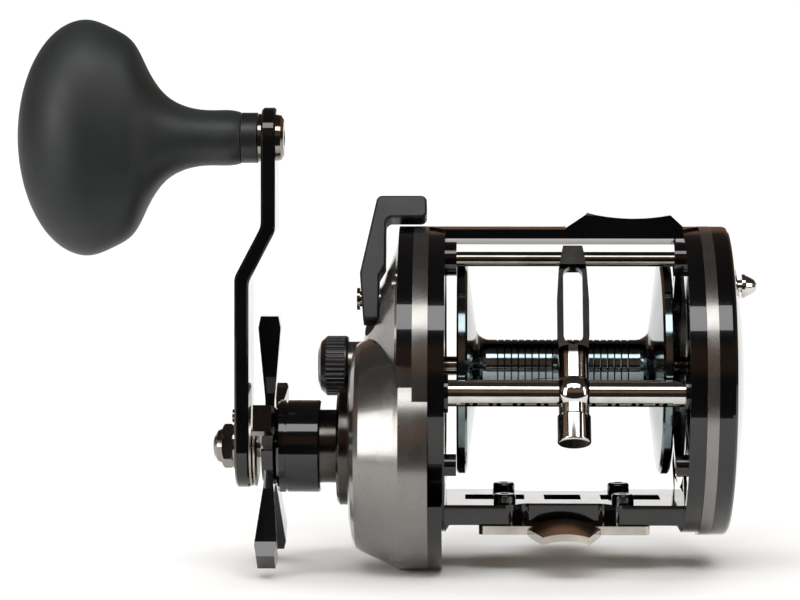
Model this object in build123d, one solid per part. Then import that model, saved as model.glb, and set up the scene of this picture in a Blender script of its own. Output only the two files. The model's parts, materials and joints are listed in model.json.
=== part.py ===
"""Levelwind trolling reel, right-hand wind, star drag.

Units are millimetres.  The origin is the centre of the foot's seat, on the face that lies on the rod.
+Z is up, away from the rod.  -Y is the front, where the levelwind is and where the line leaves.
-X is the handle side.  All shafts run along X.  A shaft's place is given as (y, z).
"""
import os
from math import acos, cos, hypot, pi, radians, sin, sqrt, tan

from build123d import *

# ---- clearances --------------------------------------------------------------------------------
RUN_GAP = 0.05            # radial clearance of a shaft in its bore
SLIDE_GAP = 0.1           # clearance of pieces that slide on each other
FREE_GAP = 0.4            # clearance of pieces that pass without touching

# ---- frame and side plates ---------------------------------------------------------------------
PLATE_RADIUS = 40.5       # side plates
PLATE_HEIGHT = 38.4       # centre of the side plates above the foot seat
FRAME_WIDTH = 61.6        # between the inner faces of the two frame rings
RING_THICK = 4.2
RING_INSET = 0.6          # how far the rings lie inside the plates' rim
OPENING_RADIUS = 29.2     # opening of each ring, round the spool
BAR_THICK = 2.4           # crossbar
BAR_FRONT = 7.0           # crossbar's front edge ahead of the centre
BAR_BACK = 15.0
BAR_CORNER = 3.8          # corner cut off the crossbar's ends
REST_RISE = 3.6           # thumb rest above the crossbar
REST_START = 0.5
REST_END = 30.8
BASE_THICK = 5.2
BASE_DEPTH = 34.0
BASE_WAIST = 26.0         # depth of the base's narrow middle
WAIST_LENGTH = 18.0
WAIST_BLEND = 6.0         # length of the curve from the waist to the full depth
WINDOW_DEPTH = 10.0
WINDOW_MIDDLE = 9.6
WINDOW_SIDE = 15.6
WINDOW_SIDE_X = 17.8      # centre of each side window

# ---- foot --------------------------------------------------------------------------------------
FOOT_THICK = 2.2
FOOT_LENGTH = 44.0        # across the rod
FOOT_DEPTH = 38.0         # along the rod, without the tongues
TONGUE_REACH = 16.0
TONGUE_ROOT = 18.2
TONGUE_TIP = 11.8
TONGUE_ARCH = 20.0        # outside radius of the tongue's arched section
TONGUE_DROP = 5.0         # degrees, tongue's slope towards its tip
FOOT_SCREW_X = 15.3
FOOT_SCREW_Y = 12.0
FOOT_SCREW_HEAD = 2.9
FOOT_SCREW_SHANK = 1.6
FOOT_SCREW_RISE = 2.4

# ---- gear train --------------------------------------------------------------------------------
SPOOL_OFFSET_Y = 3.0      # spool shaft from the plates' centre
SPOOL_OFFSET_Z = 3.4
DRIVE_MODULE = 0.8
MAIN_TEETH = 50
PINION_TEETH = 12
DRIVE_DIRECTION = 232.7   # degrees, from the spool shaft to the drive shaft, from +Y towards +Z
WIND_MODULE = 0.6
COG_TEETH = 27
IDLER_TEETH = 22
WORM_GEAR_TEETH = 14
WORM_DIRECTION = 141.9    # degrees, from the drive shaft to the levelwind worm
ADDENDUM = 0.75           # in modules; short teeth, so that the small pinion isn't undercut
DEDENDUM = 1.1
PRESSURE_ANGLE = radians(20)
BACKLASH = 0.12

# ---- spool -------------------------------------------------------------------------------------
ARBOR_RADIUS = 7.0
GROOVE_PITCH = 1.8
GROOVE_COUNT = 20
GROOVE_DEPTH = 0.3
GROOVE_WIDTH = 0.4
FLANGE_RADIUS = OPENING_RADIUS - 0.8
FLANGE_RIM = FLANGE_RADIUS - 1.1
SPOOL_WIDTH = FRAME_WIDTH - 6.0       # over the flanges' outer faces
LINE_WIDTH = SPOOL_WIDTH - 5.6        # between the flanges at the rim
FLANGE_CONE = 2.2         # how far each flange's inner face leans
FLANGE_ROOT = 3.6         # radius of the curve from the arbor to the flange
SPOOL_SHAFT_RADIUS = 2.5

# ---- levelwind ---------------------------------------------------------------------------------
TUBE_RADIUS = 3.4
TUBE_WALL = 0.8
WORM_RADIUS = 2.4
WORM_PITCH = 6.0
ROD_RADIUS = 1.9
ROD_Y = -17.0
ROD_RISE = 32.6           # stabiliser rod above the plates' centre
BOSS_REACH = 3.0          # rod bosses inward from the rings
GUIDE_X = 1.9             # where the line guide rests
GUIDE_WIDTH = 8.2
GUIDE_THICK = 2.6
EYE_WIDTH = 4.9
EYE_START = 12.8          # from the worm axis up to the eye's lower end
GUIDE_TOP = 2.6           # guide above the rod's axis
GUIDE_BODY_RADIUS = 5.2
PAWL_CAP_RADIUS = 4.3
PAWL_CAP_START = 5.9
PAWL_CAP_LENGTH = 7.5

# ---- handle side -------------------------------------------------------------------------------
BAND_WIDTH = 3.9
TRIM_WIDTH = 3.9
TRIM_STEP = 2.0           # the trim ring sits in a step this deep
CONE_FOOT_RADIUS = PLATE_RADIUS - 5.5
CONE_TOP_RADIUS = 17.6
CONE_DEPTH = 7.2
CASE_WALL = 2.2
BULGE_RADIUS = 31.8       # gear housing, round the drive shaft
BULGE_SHOULDER = 27.2
BULGE_NOSE = 16.0
BULGE_STRAIGHT = 8.2      # bulge's straight side, from the ring outward
BULGE_SLOPE = 9.3
BULGE_ROUND = 3.2
CASE_COVER_WIDTH = 3.6
BRIDGE_THICK = 2.0
CAP_RADIUS = 15.2         # bearing cap
CAP_WIDTH = 4.1
CAP_SUNK = 1.2
DRAG_TUBE_RADIUS = 9.5
SLEEVE_RADIUS = 12.0

# ---- handle ------------------------------------------------------------------------------------
DRIVE_RADIUS = 5.0        # drive shaft in the gear case
DRIVE_END_RADIUS = 3.0    # its outer end, for the handle
ARM_LENGTH = 80.0         # between the two centres of the handle arm
ARM_THICK = 3.7
ARM_HUB_RADIUS = 10.8
ARM_END_RADIUS = 7.8
ARM_JOGGLE = 6.8
JOGGLE_START = 44.3
JOGGLE_END = 57.3
STAR_TIP = 34.0
STAR_ARMS = 5
KNOB_HALF_HEIGHT = 30.5
KNOB_HALF_DEPTH = 16.0
KNOB_HEAD_CENTRE = 44.2   # from the arm's end of the knob
KNOB_HEAD_HALF = 18.0
KNOB_NECK = 6.5
KNOB_CAP_LENGTH = 4.2

# ---- worked-out places -------------------------------------------------------------------------
CENTRE = (0.0, PLATE_HEIGHT)
SPOOL_AXIS = (SPOOL_OFFSET_Y, PLATE_HEIGHT + SPOOL_OFFSET_Z)


def polar(centre, distance, degrees_from_y):
    """The point at a distance and direction from centre, in the (y, z) plane."""
    turn = radians(degrees_from_y)
    return (centre[0] + distance * cos(turn), centre[1] + distance * sin(turn))


DRIVE_AXIS = polar(SPOOL_AXIS, DRIVE_MODULE * (MAIN_TEETH + PINION_TEETH) / 2, DRIVE_DIRECTION)
COG_TO_IDLER = WIND_MODULE * (COG_TEETH + IDLER_TEETH) / 2
IDLER_TO_WORM = WIND_MODULE * (IDLER_TEETH + WORM_GEAR_TEETH) / 2
IDLER_AXIS = polar(DRIVE_AXIS, COG_TO_IDLER, WORM_DIRECTION)
WORM_AXIS = polar(IDLER_AXIS, IDLER_TO_WORM, WORM_DIRECTION)
ROD_AXIS = (ROD_Y, PLATE_HEIGHT + ROD_RISE)
INNER = FRAME_WIDTH / 2               # inner face of each ring
OUTER = INNER + RING_THICK            # outer face of each ring
BASE_BOTTOM = FOOT_THICK
BASE_TOP = BASE_BOTTOM + BASE_THICK

# Levels along X on the handle side, from the ring outward.
BAND_END = -(OUTER + BAND_WIDTH)
TRIM_END = BAND_END - TRIM_WIDTH
CONE_START = TRIM_END - 0.7
CONE_END = CONE_START - CONE_DEPTH
BULGE_EDGE = -(OUTER + BULGE_STRAIGHT)
BULGE_FACE = BULGE_EDGE - BULGE_SLOPE
NOSE_END = BULGE_FACE - BULGE_ROUND
CAP_INNER = NOSE_END + CAP_SUNK
CAP_OUTER = CAP_INNER - CAP_WIDTH
BRIDGE_FACE = -(OUTER + BRIDGE_THICK)
RECESS_FLOOR = -(OUTER + 15.5)        # floor of the recess round the cast control
NECK_END = RECESS_FLOOR - 8.0         # end of the neck that carries the cast control's knob
SHAFT_END = NECK_END + 1.5            # spool shaft's end
RATCHET_X = -(OUTER + 6.0)            # outer face of the anti-reverse ratchet
GEAR_OUTER = -(OUTER + 10.0)          # outer face of the main gear
YOKE_OUTER = -(OUTER + 6.2)
SLEEVE_INNER = CAP_OUTER - 4.3
SLEEVE_OUTER = SLEEVE_INNER - 11.1
TUBE_END = SLEEVE_INNER - 3.1
STAR_BACK = SLEEVE_OUTER - 0.2
STAR_FACE = STAR_BACK - 3.8
ARM_LOW = STAR_FACE - 6.8             # arm's outer face at the hub
WASHER_OUTER = ARM_LOW - 0.8
NUT_END = WASHER_OUTER - 5.5


# ---- shared shapes -----------------------------------------------------------------------------
def bar(x0, x1, radius, axis, bore=0.0):
    """A round bar or ring along X between x0 and x1, about axis."""
    place = Plane(origin=(min(x0, x1), axis[0], axis[1]), z_dir=(1, 0, 0))
    length = abs(x1 - x0)
    solid = place * Cylinder(radius, length, align=(Align.CENTER, Align.CENTER, Align.MIN))
    if bore:
        solid -= place * Cylinder(bore, length, align=(Align.CENTER, Align.CENTER, Align.MIN))
    return solid


def turned(outline, axis):
    """A turned piece: a closed outline of (x, radius) points spun about X through axis."""
    face = make_face(Polyline(*outline, close=True))
    return Pos(0, axis[0], axis[1]) * revolve(face, axis=Axis.X)


def slab(x0, x1, sketch):
    """A plate between x0 and x1 from a sketch whose own x and y are the reel's Y and Z."""
    place = Plane(origin=(min(x0, x1), 0, 0), x_dir=(0, 1, 0), z_dir=(1, 0, 0))
    return extrude(place * sketch, amount=abs(x1 - x0))


def spot(axis):
    """Moves a sketch for slab to a shaft's place."""
    return Pos(axis[0], axis[1])


def involute(radius, base):
    """The involute function of the pressure angle at a radius."""
    angle = acos(min(1.0, base / radius))
    return tan(angle) - angle


def gear_sketch(teeth, module, turn):
    """A spur gear's outline; turn is the direction, in degrees, that its first tooth points."""
    pitch = teeth * module / 2
    base = pitch * cos(PRESSURE_ANGLE)
    root = pitch - DEDENDUM * module
    tip = pitch + ADDENDUM * module
    half_pitch = pi / (2 * teeth) - BACKLASH / (2 * pitch) + involute(pitch, base)
    flank = [root] + [r for r in (base, pitch) if r > root] + [(pitch + tip) / 2, tip]
    points = []
    for tooth in range(teeth):
        middle = radians(turn) + 2 * pi * tooth / teeth
        for side, radii in ((-1, flank), (1, flank[::-1])):
            for r in radii:
                angle = middle + side * (half_pitch - involute(r, base))
                points.append((r * cos(angle), r * sin(angle)))
    return make_face(Polyline(*points, close=True))


def ratchet_sketch(teeth, root, tip):
    """A saw-toothed wheel's outline."""
    step = 2 * pi / teeth
    points = []
    for tooth in range(teeth):
        points.append((root * cos(tooth * step), root * sin(tooth * step)))
        points.append((tip * cos(tooth * step + 0.15 * step), tip * sin(tooth * step + 0.15 * step)))
    return make_face(Polyline(*points, close=True))


def ball_bearing(x0, x1, radius, bore, axis):
    """Two races and a ring of balls between x0 and x1."""
    middle = (x0 + x1) / 2
    track = (radius + bore) / 2
    ball = (radius - bore) * 0.22
    groove = Pos(middle, axis[0], axis[1]) * Rot(0, 90, 0) * Torus(track, ball + RUN_GAP)
    gap = (radius - bore) * 0.1
    pieces = [bar(x0, x1, radius, axis, track + gap) - groove, bar(x0, x1, track - gap, axis, bore) - groove]
    count = int(2 * pi * track / (2.6 * ball))
    for index in range(count):
        y, z = polar(axis, track, 360 * index / count)
        pieces.append(Pos(middle, y, z) * Sphere(ball))
    return pieces


def coil_spring(start, radius, wire, pitch, turns):
    """An open coil spring along X, starting at start = (x, y, z)."""
    path = Helix(pitch, pitch * turns, radius)
    wound = sweep(Plane(origin=path @ 0, z_dir=path % 0) * Circle(wire), path=path)
    return Pos(*start) * Rot(0, 90, 0) * wound


def screw(x_head, x_tip, head_radius, head_length, shank_radius, axis, socket):
    """A socket screw along X; its head ends at x_head and its shank at x_tip."""
    way = 1 if x_tip > x_head else -1
    under = x_head + way * head_length
    body = bar(x_head, under, head_radius, axis) + bar(under, x_tip, shank_radius, axis)
    key = spot(axis) * RegularPolygon(socket, 6)
    return body - slab(x_head, x_head + way * head_length * 0.6, key)


# ---- frame -------------------------------------------------------------------------------------
RIM = PLATE_RADIUS - RING_INSET
RING_POCKET = 1.0
POCKET_EDGE = 2.4
RIB_WIDTH = 2.2
RIB_COUNT = 9
PLATE_SCREW_CIRCLE = PLATE_RADIUS - 5.4
PLATE_SCREW_TURNS = (18, 72, 128)     # degrees from +Y towards +Z
PLATE_SCREW_RADIUS = 1.5
PLATE_SCREW_HEAD = 2.6
PLATE_SCREW_BITE = 3.0                # thread held in the ring
SCREW_HEAD_DEPTH = 1.2
SCREW_SOCKET = 1.2                    # from the centre to the hexagon's corner
ROD_BOSS_RADIUS = 4.4
TUBE_BOSS_RADIUS = 5.0
TUBE_BOSS_REACH = 1.0
POST_AXIS = polar(CENTRE, PLATE_RADIUS - 4.6, 212)
POST_RADIUS = 2.8
SCREW_AXES = [polar(CENTRE, PLATE_SCREW_CIRCLE, turn) for turn in PLATE_SCREW_TURNS]


def frame_ring(side):
    """One ring with its ribbed inner face, its bosses and its holes."""
    ring = spot(CENTRE) * Circle(RIM) - spot(SPOOL_AXIS) * Circle(OPENING_RADIUS)
    solid = slab(side * INNER, side * OUTER, ring)
    pocket = spot(CENTRE) * Circle(RIM - POCKET_EDGE)
    pocket -= spot(SPOOL_AXIS) * Circle(OPENING_RADIUS + POCKET_EDGE)
    for rib in range(RIB_COUNT):
        turned_out = spot(CENTRE) * Rot(0, 0, 360 * rib / RIB_COUNT) * Pos(RIM / 2, 0)
        pocket -= turned_out * Rectangle(RIM, RIB_WIDTH)
    for axis in SCREW_AXES + [ROD_AXIS, WORM_AXIS, POST_AXIS]:
        pocket -= spot(axis) * Circle(TUBE_BOSS_RADIUS)
    pocket -= Pos(0, (BASE_BOTTOM + BASE_TOP) / 2) * Rectangle(BASE_DEPTH + 2, BASE_THICK + 6)
    pocket -= Pos(0, PLATE_HEIGHT + PLATE_RADIUS) * Rectangle(2 * BAR_BACK + 6, 16)
    solid -= slab(side * INNER, side * (INNER + RING_POCKET), pocket)
    solid += bar(side * INNER, side * (INNER - BOSS_REACH), ROD_BOSS_RADIUS, ROD_AXIS)
    solid += bar(side * INNER, side * (INNER - TUBE_BOSS_REACH), TUBE_BOSS_RADIUS, WORM_AXIS)
    solid += bar(side * INNER, side * (INNER - BOSS_REACH), POST_RADIUS, POST_AXIS)
    return solid


def crossbar():
    """The curved bar over the spool, with a thumb rest at its left end."""
    arc = spot(CENTRE) * Circle(PLATE_RADIUS) - spot(CENTRE) * Circle(PLATE_RADIUS - BAR_THICK)
    arc &= Pos((BAR_BACK - BAR_FRONT) / 2, PLATE_HEIGHT + PLATE_RADIUS) * Rectangle(BAR_FRONT + BAR_BACK, 20)
    solid = slab(-OUTER, OUTER, arc)
    for side in (-1, 1):
        corner = Pos(side * OUTER, -BAR_FRONT, PLATE_HEIGHT + PLATE_RADIUS) * Rot(0, 0, 45)
        solid -= corner * Box(BAR_CORNER * sqrt(2), BAR_CORNER * sqrt(2), 30)
    return solid


def thumb_rest():
    """The raised rest: sloped ends, a shallow hollow along its top, round across."""
    low = PLATE_HEIGHT + PLATE_RADIUS - BAR_THICK - 1
    top = PLATE_HEIGHT + PLATE_RADIUS + REST_RISE
    base = PLATE_HEIGHT + PLATE_RADIUS - 0.2
    ends = [(REST_START, base), (REST_START, low), (REST_END, low), (REST_END, base + 0.4)]
    left = (REST_START + 5.7, top)
    right = (REST_END - 3.2, top - 0.5)
    middle = ((left[0] + right[0]) / 2, top - 1.4)
    profile = make_face(Polyline(left, *ends, right) + ThreePointArc(left, middle, right))
    body = extrude(Plane.XZ * profile, amount=BAR_FRONT) + extrude(Plane.XZ * profile, amount=-(BAR_BACK - 2))
    band = Circle(PLATE_RADIUS + REST_RISE) - Circle(PLATE_RADIUS - BAR_THICK)
    return body & slab(0, REST_END, spot(CENTRE) * band)


def base_outline():
    """The waisted base from above, as edges of one closed face."""
    wide = BASE_DEPTH / 2
    narrow = BASE_WAIST / 2
    near = WAIST_LENGTH / 2
    far = near + WAIST_BLEND
    middle = (near + far) / 2
    edges = []
    for way in (-1, 1):
        edge = way * wide
        waist = way * narrow
        edges.append(Line((-INNER, edge), (-far, edge)))
        edges.append(Bezier((-far, edge), (-middle, edge), (-middle, waist), (-near, waist)))
        edges.append(Line((-near, waist), (near, waist)))
        edges.append(Bezier((near, waist), (middle, waist), (middle, edge), (far, edge)))
        edges.append(Line((far, edge), (INNER, edge)))
        edges.append(Line((way * INNER, -wide), (way * INNER, wide)))
    return make_face(edges)


def frame_base():
    """The base between the rings, with its three windows and the foot screws' holes."""
    plan = base_outline()
    plan -= Rectangle(WINDOW_MIDDLE, WINDOW_DEPTH)
    for side in (-1, 1):
        plan -= Pos(side * WINDOW_SIDE_X, 0) * Rectangle(WINDOW_SIDE, WINDOW_DEPTH)
    solid = Pos(0, 0, BASE_BOTTOM) * extrude(plan, amount=BASE_THICK)
    for x, y in foot_screw_places():
        solid -= Pos(x, y, BASE_BOTTOM + BASE_THICK / 2) * Cylinder(FOOT_SCREW_SHANK, BASE_THICK * 2)
    for side in (-1, 1):
        corners = [(INNER, BASE_BOTTOM), (INNER - 4, BASE_BOTTOM)]
        corners += [(INNER - 1.2, BASE_BOTTOM - 1.1), (INNER, BASE_BOTTOM - 3)]
        gusset = make_face(Polyline(*[(side * x, z) for x, z in corners], close=True))
        solid += extrude(Plane.XZ * gusset, amount=8, both=True)
    return solid


def foot_screw_places():
    """Where the four foot screws go."""
    return [(x, y) for x in (-FOOT_SCREW_X, FOOT_SCREW_X) for y in (-FOOT_SCREW_Y, FOOT_SCREW_Y)]


def frame():
    """Rings, crossbar and base, cast in one piece."""
    solid = frame_ring(-1) + frame_ring(1) + crossbar() + thumb_rest() + frame_base()
    for axis in SCREW_AXES:
        for side in (-1, 1):
            solid -= bar(side * OUTER, side * (OUTER - PLATE_SCREW_BITE), PLATE_SCREW_RADIUS, axis)
    for side in (-1, 1):
        solid -= bar(side * (INNER - BOSS_REACH), side * (INNER + 0.5), ROD_RADIUS, ROD_AXIS)
        solid -= bar(side * (INNER - TUBE_BOSS_REACH), side * OUTER, TUBE_RADIUS, WORM_AXIS)
    return solid


# ---- foot --------------------------------------------------------------------------------------
def foot_tongue(way):
    """One arched tongue that the rod's seat hood grips."""
    inner = TONGUE_ARCH - FOOT_THICK + 0.4
    ring = Circle(TONGUE_ARCH) - Circle(inner)
    sag = TONGUE_ARCH - sqrt(TONGUE_ARCH ** 2 - (TONGUE_ROOT / 2) ** 2)
    section = Pos(0, FOOT_THICK + sag - 0.4 - TONGUE_ARCH) * ring
    section &= Pos(0, FOOT_THICK + sag - 0.4) * Rectangle(TONGUE_ROOT + 4, 8)
    strip = extrude(Plane.XZ * section, amount=TONGUE_REACH + 3)
    root = FOOT_DEPTH / 2
    strip = Pos(0, 2 - root, 0) * Rot(TONGUE_DROP, 0, 0) * strip
    wide = TONGUE_ROOT / 2 + 0.8
    tip = TONGUE_TIP / 2
    end = -root - TONGUE_REACH
    plan = make_face(Polyline((-wide, 2 - root), (wide, 2 - root), (tip, end), (-tip, end), close=True))
    tongue = strip & Pos(0, 0, -10) * extrude(plan, amount=20)
    return tongue if way < 0 else Rot(0, 0, 180) * tongue


def foot():
    """The pressed stainless foot: a flat plate with an arched tongue fore and aft."""
    plate = Pos(0, 0, FOOT_THICK / 2) * Box(FOOT_LENGTH, FOOT_DEPTH, FOOT_THICK)
    plate = fillet(plate.edges().filter_by(Axis.Z), 1.5)
    solid = plate + foot_tongue(-1) + foot_tongue(1)
    clear = Pos(0, 0, BASE_BOTTOM + BASE_THICK / 2) * Box(FRAME_WIDTH, BASE_DEPTH, BASE_THICK)
    solid -= clear
    for x, y in foot_screw_places():
        solid -= Pos(x, y, 0) * Cylinder(FOOT_SCREW_SHANK, FOOT_THICK * 3)
    return solid


def foot_screws():
    """Four button-head screws through the base into the foot."""
    screws = []
    for x, y in foot_screw_places():
        head = Cylinder(FOOT_SCREW_HEAD, FOOT_SCREW_RISE, align=(Align.CENTER, Align.CENTER, Align.MIN))
        head = fillet(head.edges().group_by(Axis.Z)[-1], 0.7)
        head -= Pos(0, 0, FOOT_SCREW_RISE) * extrude(RegularPolygon(1.3, 6), amount=-1.4)
        length = BASE_THICK + FOOT_THICK - 0.2
        shank = Cylinder(FOOT_SCREW_SHANK, length, align=(Align.CENTER, Align.CENTER, Align.MAX))
        screws.append(Pos(x, y, BASE_TOP) * (head + shank))
    return screws


# ---- stabiliser rod and levelwind --------------------------------------------------------------
TUBE_SLOT = 3.0
WORM_GROOVE = 0.5
WORM_TILT = 22.0          # degrees, slant of the crossed grooves
WORM_GEAR_OUTER = BAND_END + 0.2
WORM_GEAR_WIDTH = 1.4
GEAR_PLANE_INNER = WORM_GEAR_OUTER + WORM_GEAR_WIDTH
PAWL_RADIUS = 1.5
LEAN = (ROD_AXIS[0] - WORM_AXIS[0], ROD_AXIS[1] - WORM_AXIS[1])
GUIDE_LENGTH = hypot(*LEAN)


def stabiliser_rod():
    """The polished rod that keeps the line guide upright."""
    return bar(-(INNER + 0.5), INNER + 0.5, ROD_RADIUS, ROD_AXIS)


def worm_tube():
    """The tube round the worm, slotted along its lower side for the pawl."""
    tube = bar(-(INNER + 1), INNER + 1, TUBE_RADIUS, WORM_AXIS, TUBE_RADIUS - TUBE_WALL)
    slot = guide_frame() * Pos(0, -TUBE_RADIUS, 0) * Box(FRAME_WIDTH - 8, TUBE_RADIUS * 2, TUBE_SLOT)
    return tube - slot


def guide_frame(x=0.0):
    """A plane at the worm's axis: its x is the reel's X and its y leans up to the stabiliser rod."""
    up = (0, LEAN[0] / GUIDE_LENGTH, LEAN[1] / GUIDE_LENGTH)
    return Location(Plane(origin=(x, *WORM_AXIS), x_dir=(1, 0, 0), z_dir=(0, -up[2], up[1])))


def worm_shaft():
    """The worm: a shaft with crossed slanting grooves, and its journals."""
    reach = INNER + 1.5
    body = bar(-reach, reach, WORM_RADIUS, WORM_AXIS)
    turns = int((FRAME_WIDTH - 10) / WORM_PITCH)
    ring = Cylinder(WORM_RADIUS + 2, WORM_GROOVE * 2) - Cylinder(WORM_RADIUS - WORM_GROOVE, WORM_GROOVE * 4)
    for turn in range(turns + 1):
        x = (turn - turns / 2) * WORM_PITCH
        for tilt in (-WORM_TILT, WORM_TILT):
            body -= Pos(x, *WORM_AXIS) * Rot(0, 90 + tilt, 0) * ring
    body += bar(-reach, GEAR_PLANE_INNER - WORM_GEAR_WIDTH, 1.5, WORM_AXIS)
    body += bar(reach, OUTER - 0.6, 1.5, WORM_AXIS)
    return body


def worm_bushings():
    """Two plastic bushings in the rings that carry the worm's journals."""
    bushings = []
    for side in (-1, 1):
        bushings.append(bar(side * (INNER + 1.7), side * OUTER, TUBE_RADIUS, WORM_AXIS, 1.5 + RUN_GAP))
    return bushings


def worm_gear():
    """The small gear on the worm's handle end."""
    sketch = gear_sketch(WORM_GEAR_TEETH, WIND_MODULE, WORM_DIRECTION + 180)
    disc = slab(WORM_GEAR_OUTER, GEAR_PLANE_INNER, spot(WORM_AXIS) * sketch)
    return disc - bar(WORM_GEAR_OUTER, GEAR_PLANE_INNER, 1.5, WORM_AXIS)


def idler_gear():
    """The idler between the drive shaft's cog and the worm gear."""
    gap_turn = WORM_DIRECTION + 180 / IDLER_TEETH
    sketch = gear_sketch(IDLER_TEETH, WIND_MODULE, gap_turn)
    disc = slab(WORM_GEAR_OUTER, GEAR_PLANE_INNER, spot(IDLER_AXIS) * sketch)
    return disc - bar(WORM_GEAR_OUTER, GEAR_PLANE_INNER, 1.5 + RUN_GAP, IDLER_AXIS)


def idler_pin():
    """The pin that the idler turns on, pressed into the bridge plate."""
    end = WORM_GEAR_OUTER - 0.1
    return bar(BRIDGE_FACE, end, 1.5, IDLER_AXIS) + bar(end, end - 0.6, 2.4, IDLER_AXIS)


def levelwind_cog():
    """The gear on the drive shaft that turns the levelwind."""
    turn = WORM_DIRECTION + (0 if IDLER_TEETH % 2 == 0 else 180 / COG_TEETH)
    sketch = gear_sketch(COG_TEETH, WIND_MODULE, turn)
    disc = slab(WORM_GEAR_OUTER, GEAR_PLANE_INNER, spot(DRIVE_AXIS) * sketch)
    return disc - bar(WORM_GEAR_OUTER, GEAR_PLANE_INNER, DRIVE_RADIUS, DRIVE_AXIS)


def line_guide():
    """The guide: a slotted eye on a body that slides on the worm tube and on the rod."""
    place = guide_frame(GUIDE_X)
    top = GUIDE_LENGTH + GUIDE_TOP
    half = GUIDE_WIDTH / 2
    edge = [(0.85, 4.0), (0.86, 10.0), (1.0, 15.0), (1.0, 25.0), (0.87, 33.5), (0.6, top)]
    points = [(-half * part, up) for part, up in edge] + [(half * part, up) for part, up in edge[::-1]]
    blade = make_face(Polyline(*points, close=True))
    eye_end = GUIDE_LENGTH - ROD_RADIUS - 0.6
    eye = Pos(0, (EYE_START + eye_end) / 2) * SlotOverall(eye_end - EYE_START, EYE_WIDTH, rotation=90)
    solid = place * extrude(blade - eye, amount=GUIDE_THICK / 2, both=True)
    wide_top = GUIDE_WIDTH * 0.8
    head = Pos(0, GUIDE_LENGTH + 0.6) * Rectangle(wide_top, 6.2) & blade
    solid += place * extrude(head, amount=ROD_RADIUS + 1.1, both=True)
    body = Sphere(GUIDE_BODY_RADIUS) & Box(GUIDE_WIDTH + 0.4, 20, 20)
    neck = Pos(0, PAWL_CAP_START / 2 - 0.5, 0) * Rot(90, 0, 0) * Cylinder(3.9, PAWL_CAP_START * 3 + 1)
    solid += place * (body + neck)
    solid -= place * Pos(0, -PAWL_CAP_START - 5, 0) * Box(20, 10, 20)
    solid -= bar(GUIDE_X - 20, GUIDE_X + 20, TUBE_RADIUS + SLIDE_GAP, WORM_AXIS)
    solid -= bar(GUIDE_X - 20, GUIDE_X + 20, ROD_RADIUS + SLIDE_GAP, ROD_AXIS)
    solid -= place * Pos(0, -PAWL_CAP_START, 0) * Rot(90, 0, 0) * Cylinder(PAWL_RADIUS + 0.5 + SLIDE_GAP, 8)
    return solid


def guide_pawl():
    """The pawl in the guide's body; its blade lies in the worm's groove."""
    stem = Pos(0, -7.2, 0) * Rot(90, 0, 0) * Cylinder(PAWL_RADIUS, 4.0)
    collar = Pos(0, -9.2, 0) * Rot(90, 0, 0) * Cylinder(PAWL_RADIUS + 0.5, 1.2)
    tip_top = -(WORM_RADIUS + FREE_GAP)
    tip = Pos(0, (tip_top - 5.4) / 2, 0) * Box(2.0, tip_top + 5.4, 0.9)
    return guide_frame(GUIDE_X) * (stem + collar + tip)


def pawl_cap():
    """The screwed cap under the guide that holds the pawl in."""
    cap = Cylinder(PAWL_CAP_RADIUS, PAWL_CAP_LENGTH)
    cap = fillet(cap.edges(), 0.6)
    hollow = Pos(0, 0, -PAWL_CAP_LENGTH / 2) * Cylinder(PAWL_RADIUS + 0.8, 10)
    cap -= hollow
    slot = Pos(0, 0, PAWL_CAP_LENGTH / 2) * Box(1.0, 5.0, 1.4)
    cap -= slot
    middle = -(PAWL_CAP_START + PAWL_CAP_LENGTH / 2)
    return guide_frame(GUIDE_X) * Pos(0, middle, 0) * Rot(90, 0, 0) * cap


# ---- spool -------------------------------------------------------------------------------------
HUB_RADIUS = 6.0
RATCHET_TEETH = 20
RATCHET_ROOT = 6.6
RATCHET_TIP = 8.0
LEFT_PLATE_WIDTH = 3.0
COVER_RIM = 4.8
COVER_DOME = 4.3
COVER_EDGE = 1.4
LEFT_FACE = OUTER + LEFT_PLATE_WIDTH
COVER_STEP = LEFT_FACE + COVER_RIM
RATCHET_INNER = LEFT_FACE + 1.4
RATCHET_OUTER = RATCHET_INNER + 1.6
SHAFT_LEFT = LEFT_FACE + 5.0
ROOT_STEPS = 6            # points on the curve from the arbor to a flange


def spool():
    """The line spool: a grooved arbor between two dished flanges."""
    half = SPOOL_WIDTH / 2
    rim = LINE_WIDTH / 2
    foot_x = rim - FLANGE_CONE
    arbor_half = foot_x - FLANGE_ROOT
    first = GROOVE_PITCH * GROOVE_COUNT / 2
    right = [(first, ARBOR_RADIUS)]
    for step in range(ROOT_STEPS + 1):
        turn = radians(90 * step / ROOT_STEPS)
        rise = FLANGE_ROOT * (1 - cos(turn))
        right.append((arbor_half + FLANGE_ROOT * sin(turn), ARBOR_RADIUS + rise))
    right += [(rim, FLANGE_RIM), (rim + 0.6, FLANGE_RADIUS)]
    right += [(half - 0.5, FLANGE_RADIUS), (half, FLANGE_RADIUS - 0.5)]
    grooves = []
    for groove in range(GROOVE_COUNT):
        middle = (groove + 0.5) * GROOVE_PITCH - first
        grooves += [(middle - GROOVE_WIDTH / 2, ARBOR_RADIUS), (middle, ARBOR_RADIUS - GROOVE_DEPTH)]
        grooves.append((middle + GROOVE_WIDTH / 2, ARBOR_RADIUS))
    left = [(-x, r) for x, r in right[:0:-1]]
    dish = [(half, FLANGE_RADIUS - 2.2), (rim + 1.0, FLANGE_RADIUS - 3.2), (foot_x + 2.0, ARBOR_RADIUS + 3.5)]
    dish += [(foot_x + 0.6, HUB_RADIUS), (half - 1.0, HUB_RADIUS), (half - 1.0, SPOOL_SHAFT_RADIUS)]
    lower = dish + [(-x, r) for x, r in dish[::-1]]
    upper = left + grooves + right
    return turned(upper + lower, SPOOL_AXIS)


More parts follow.
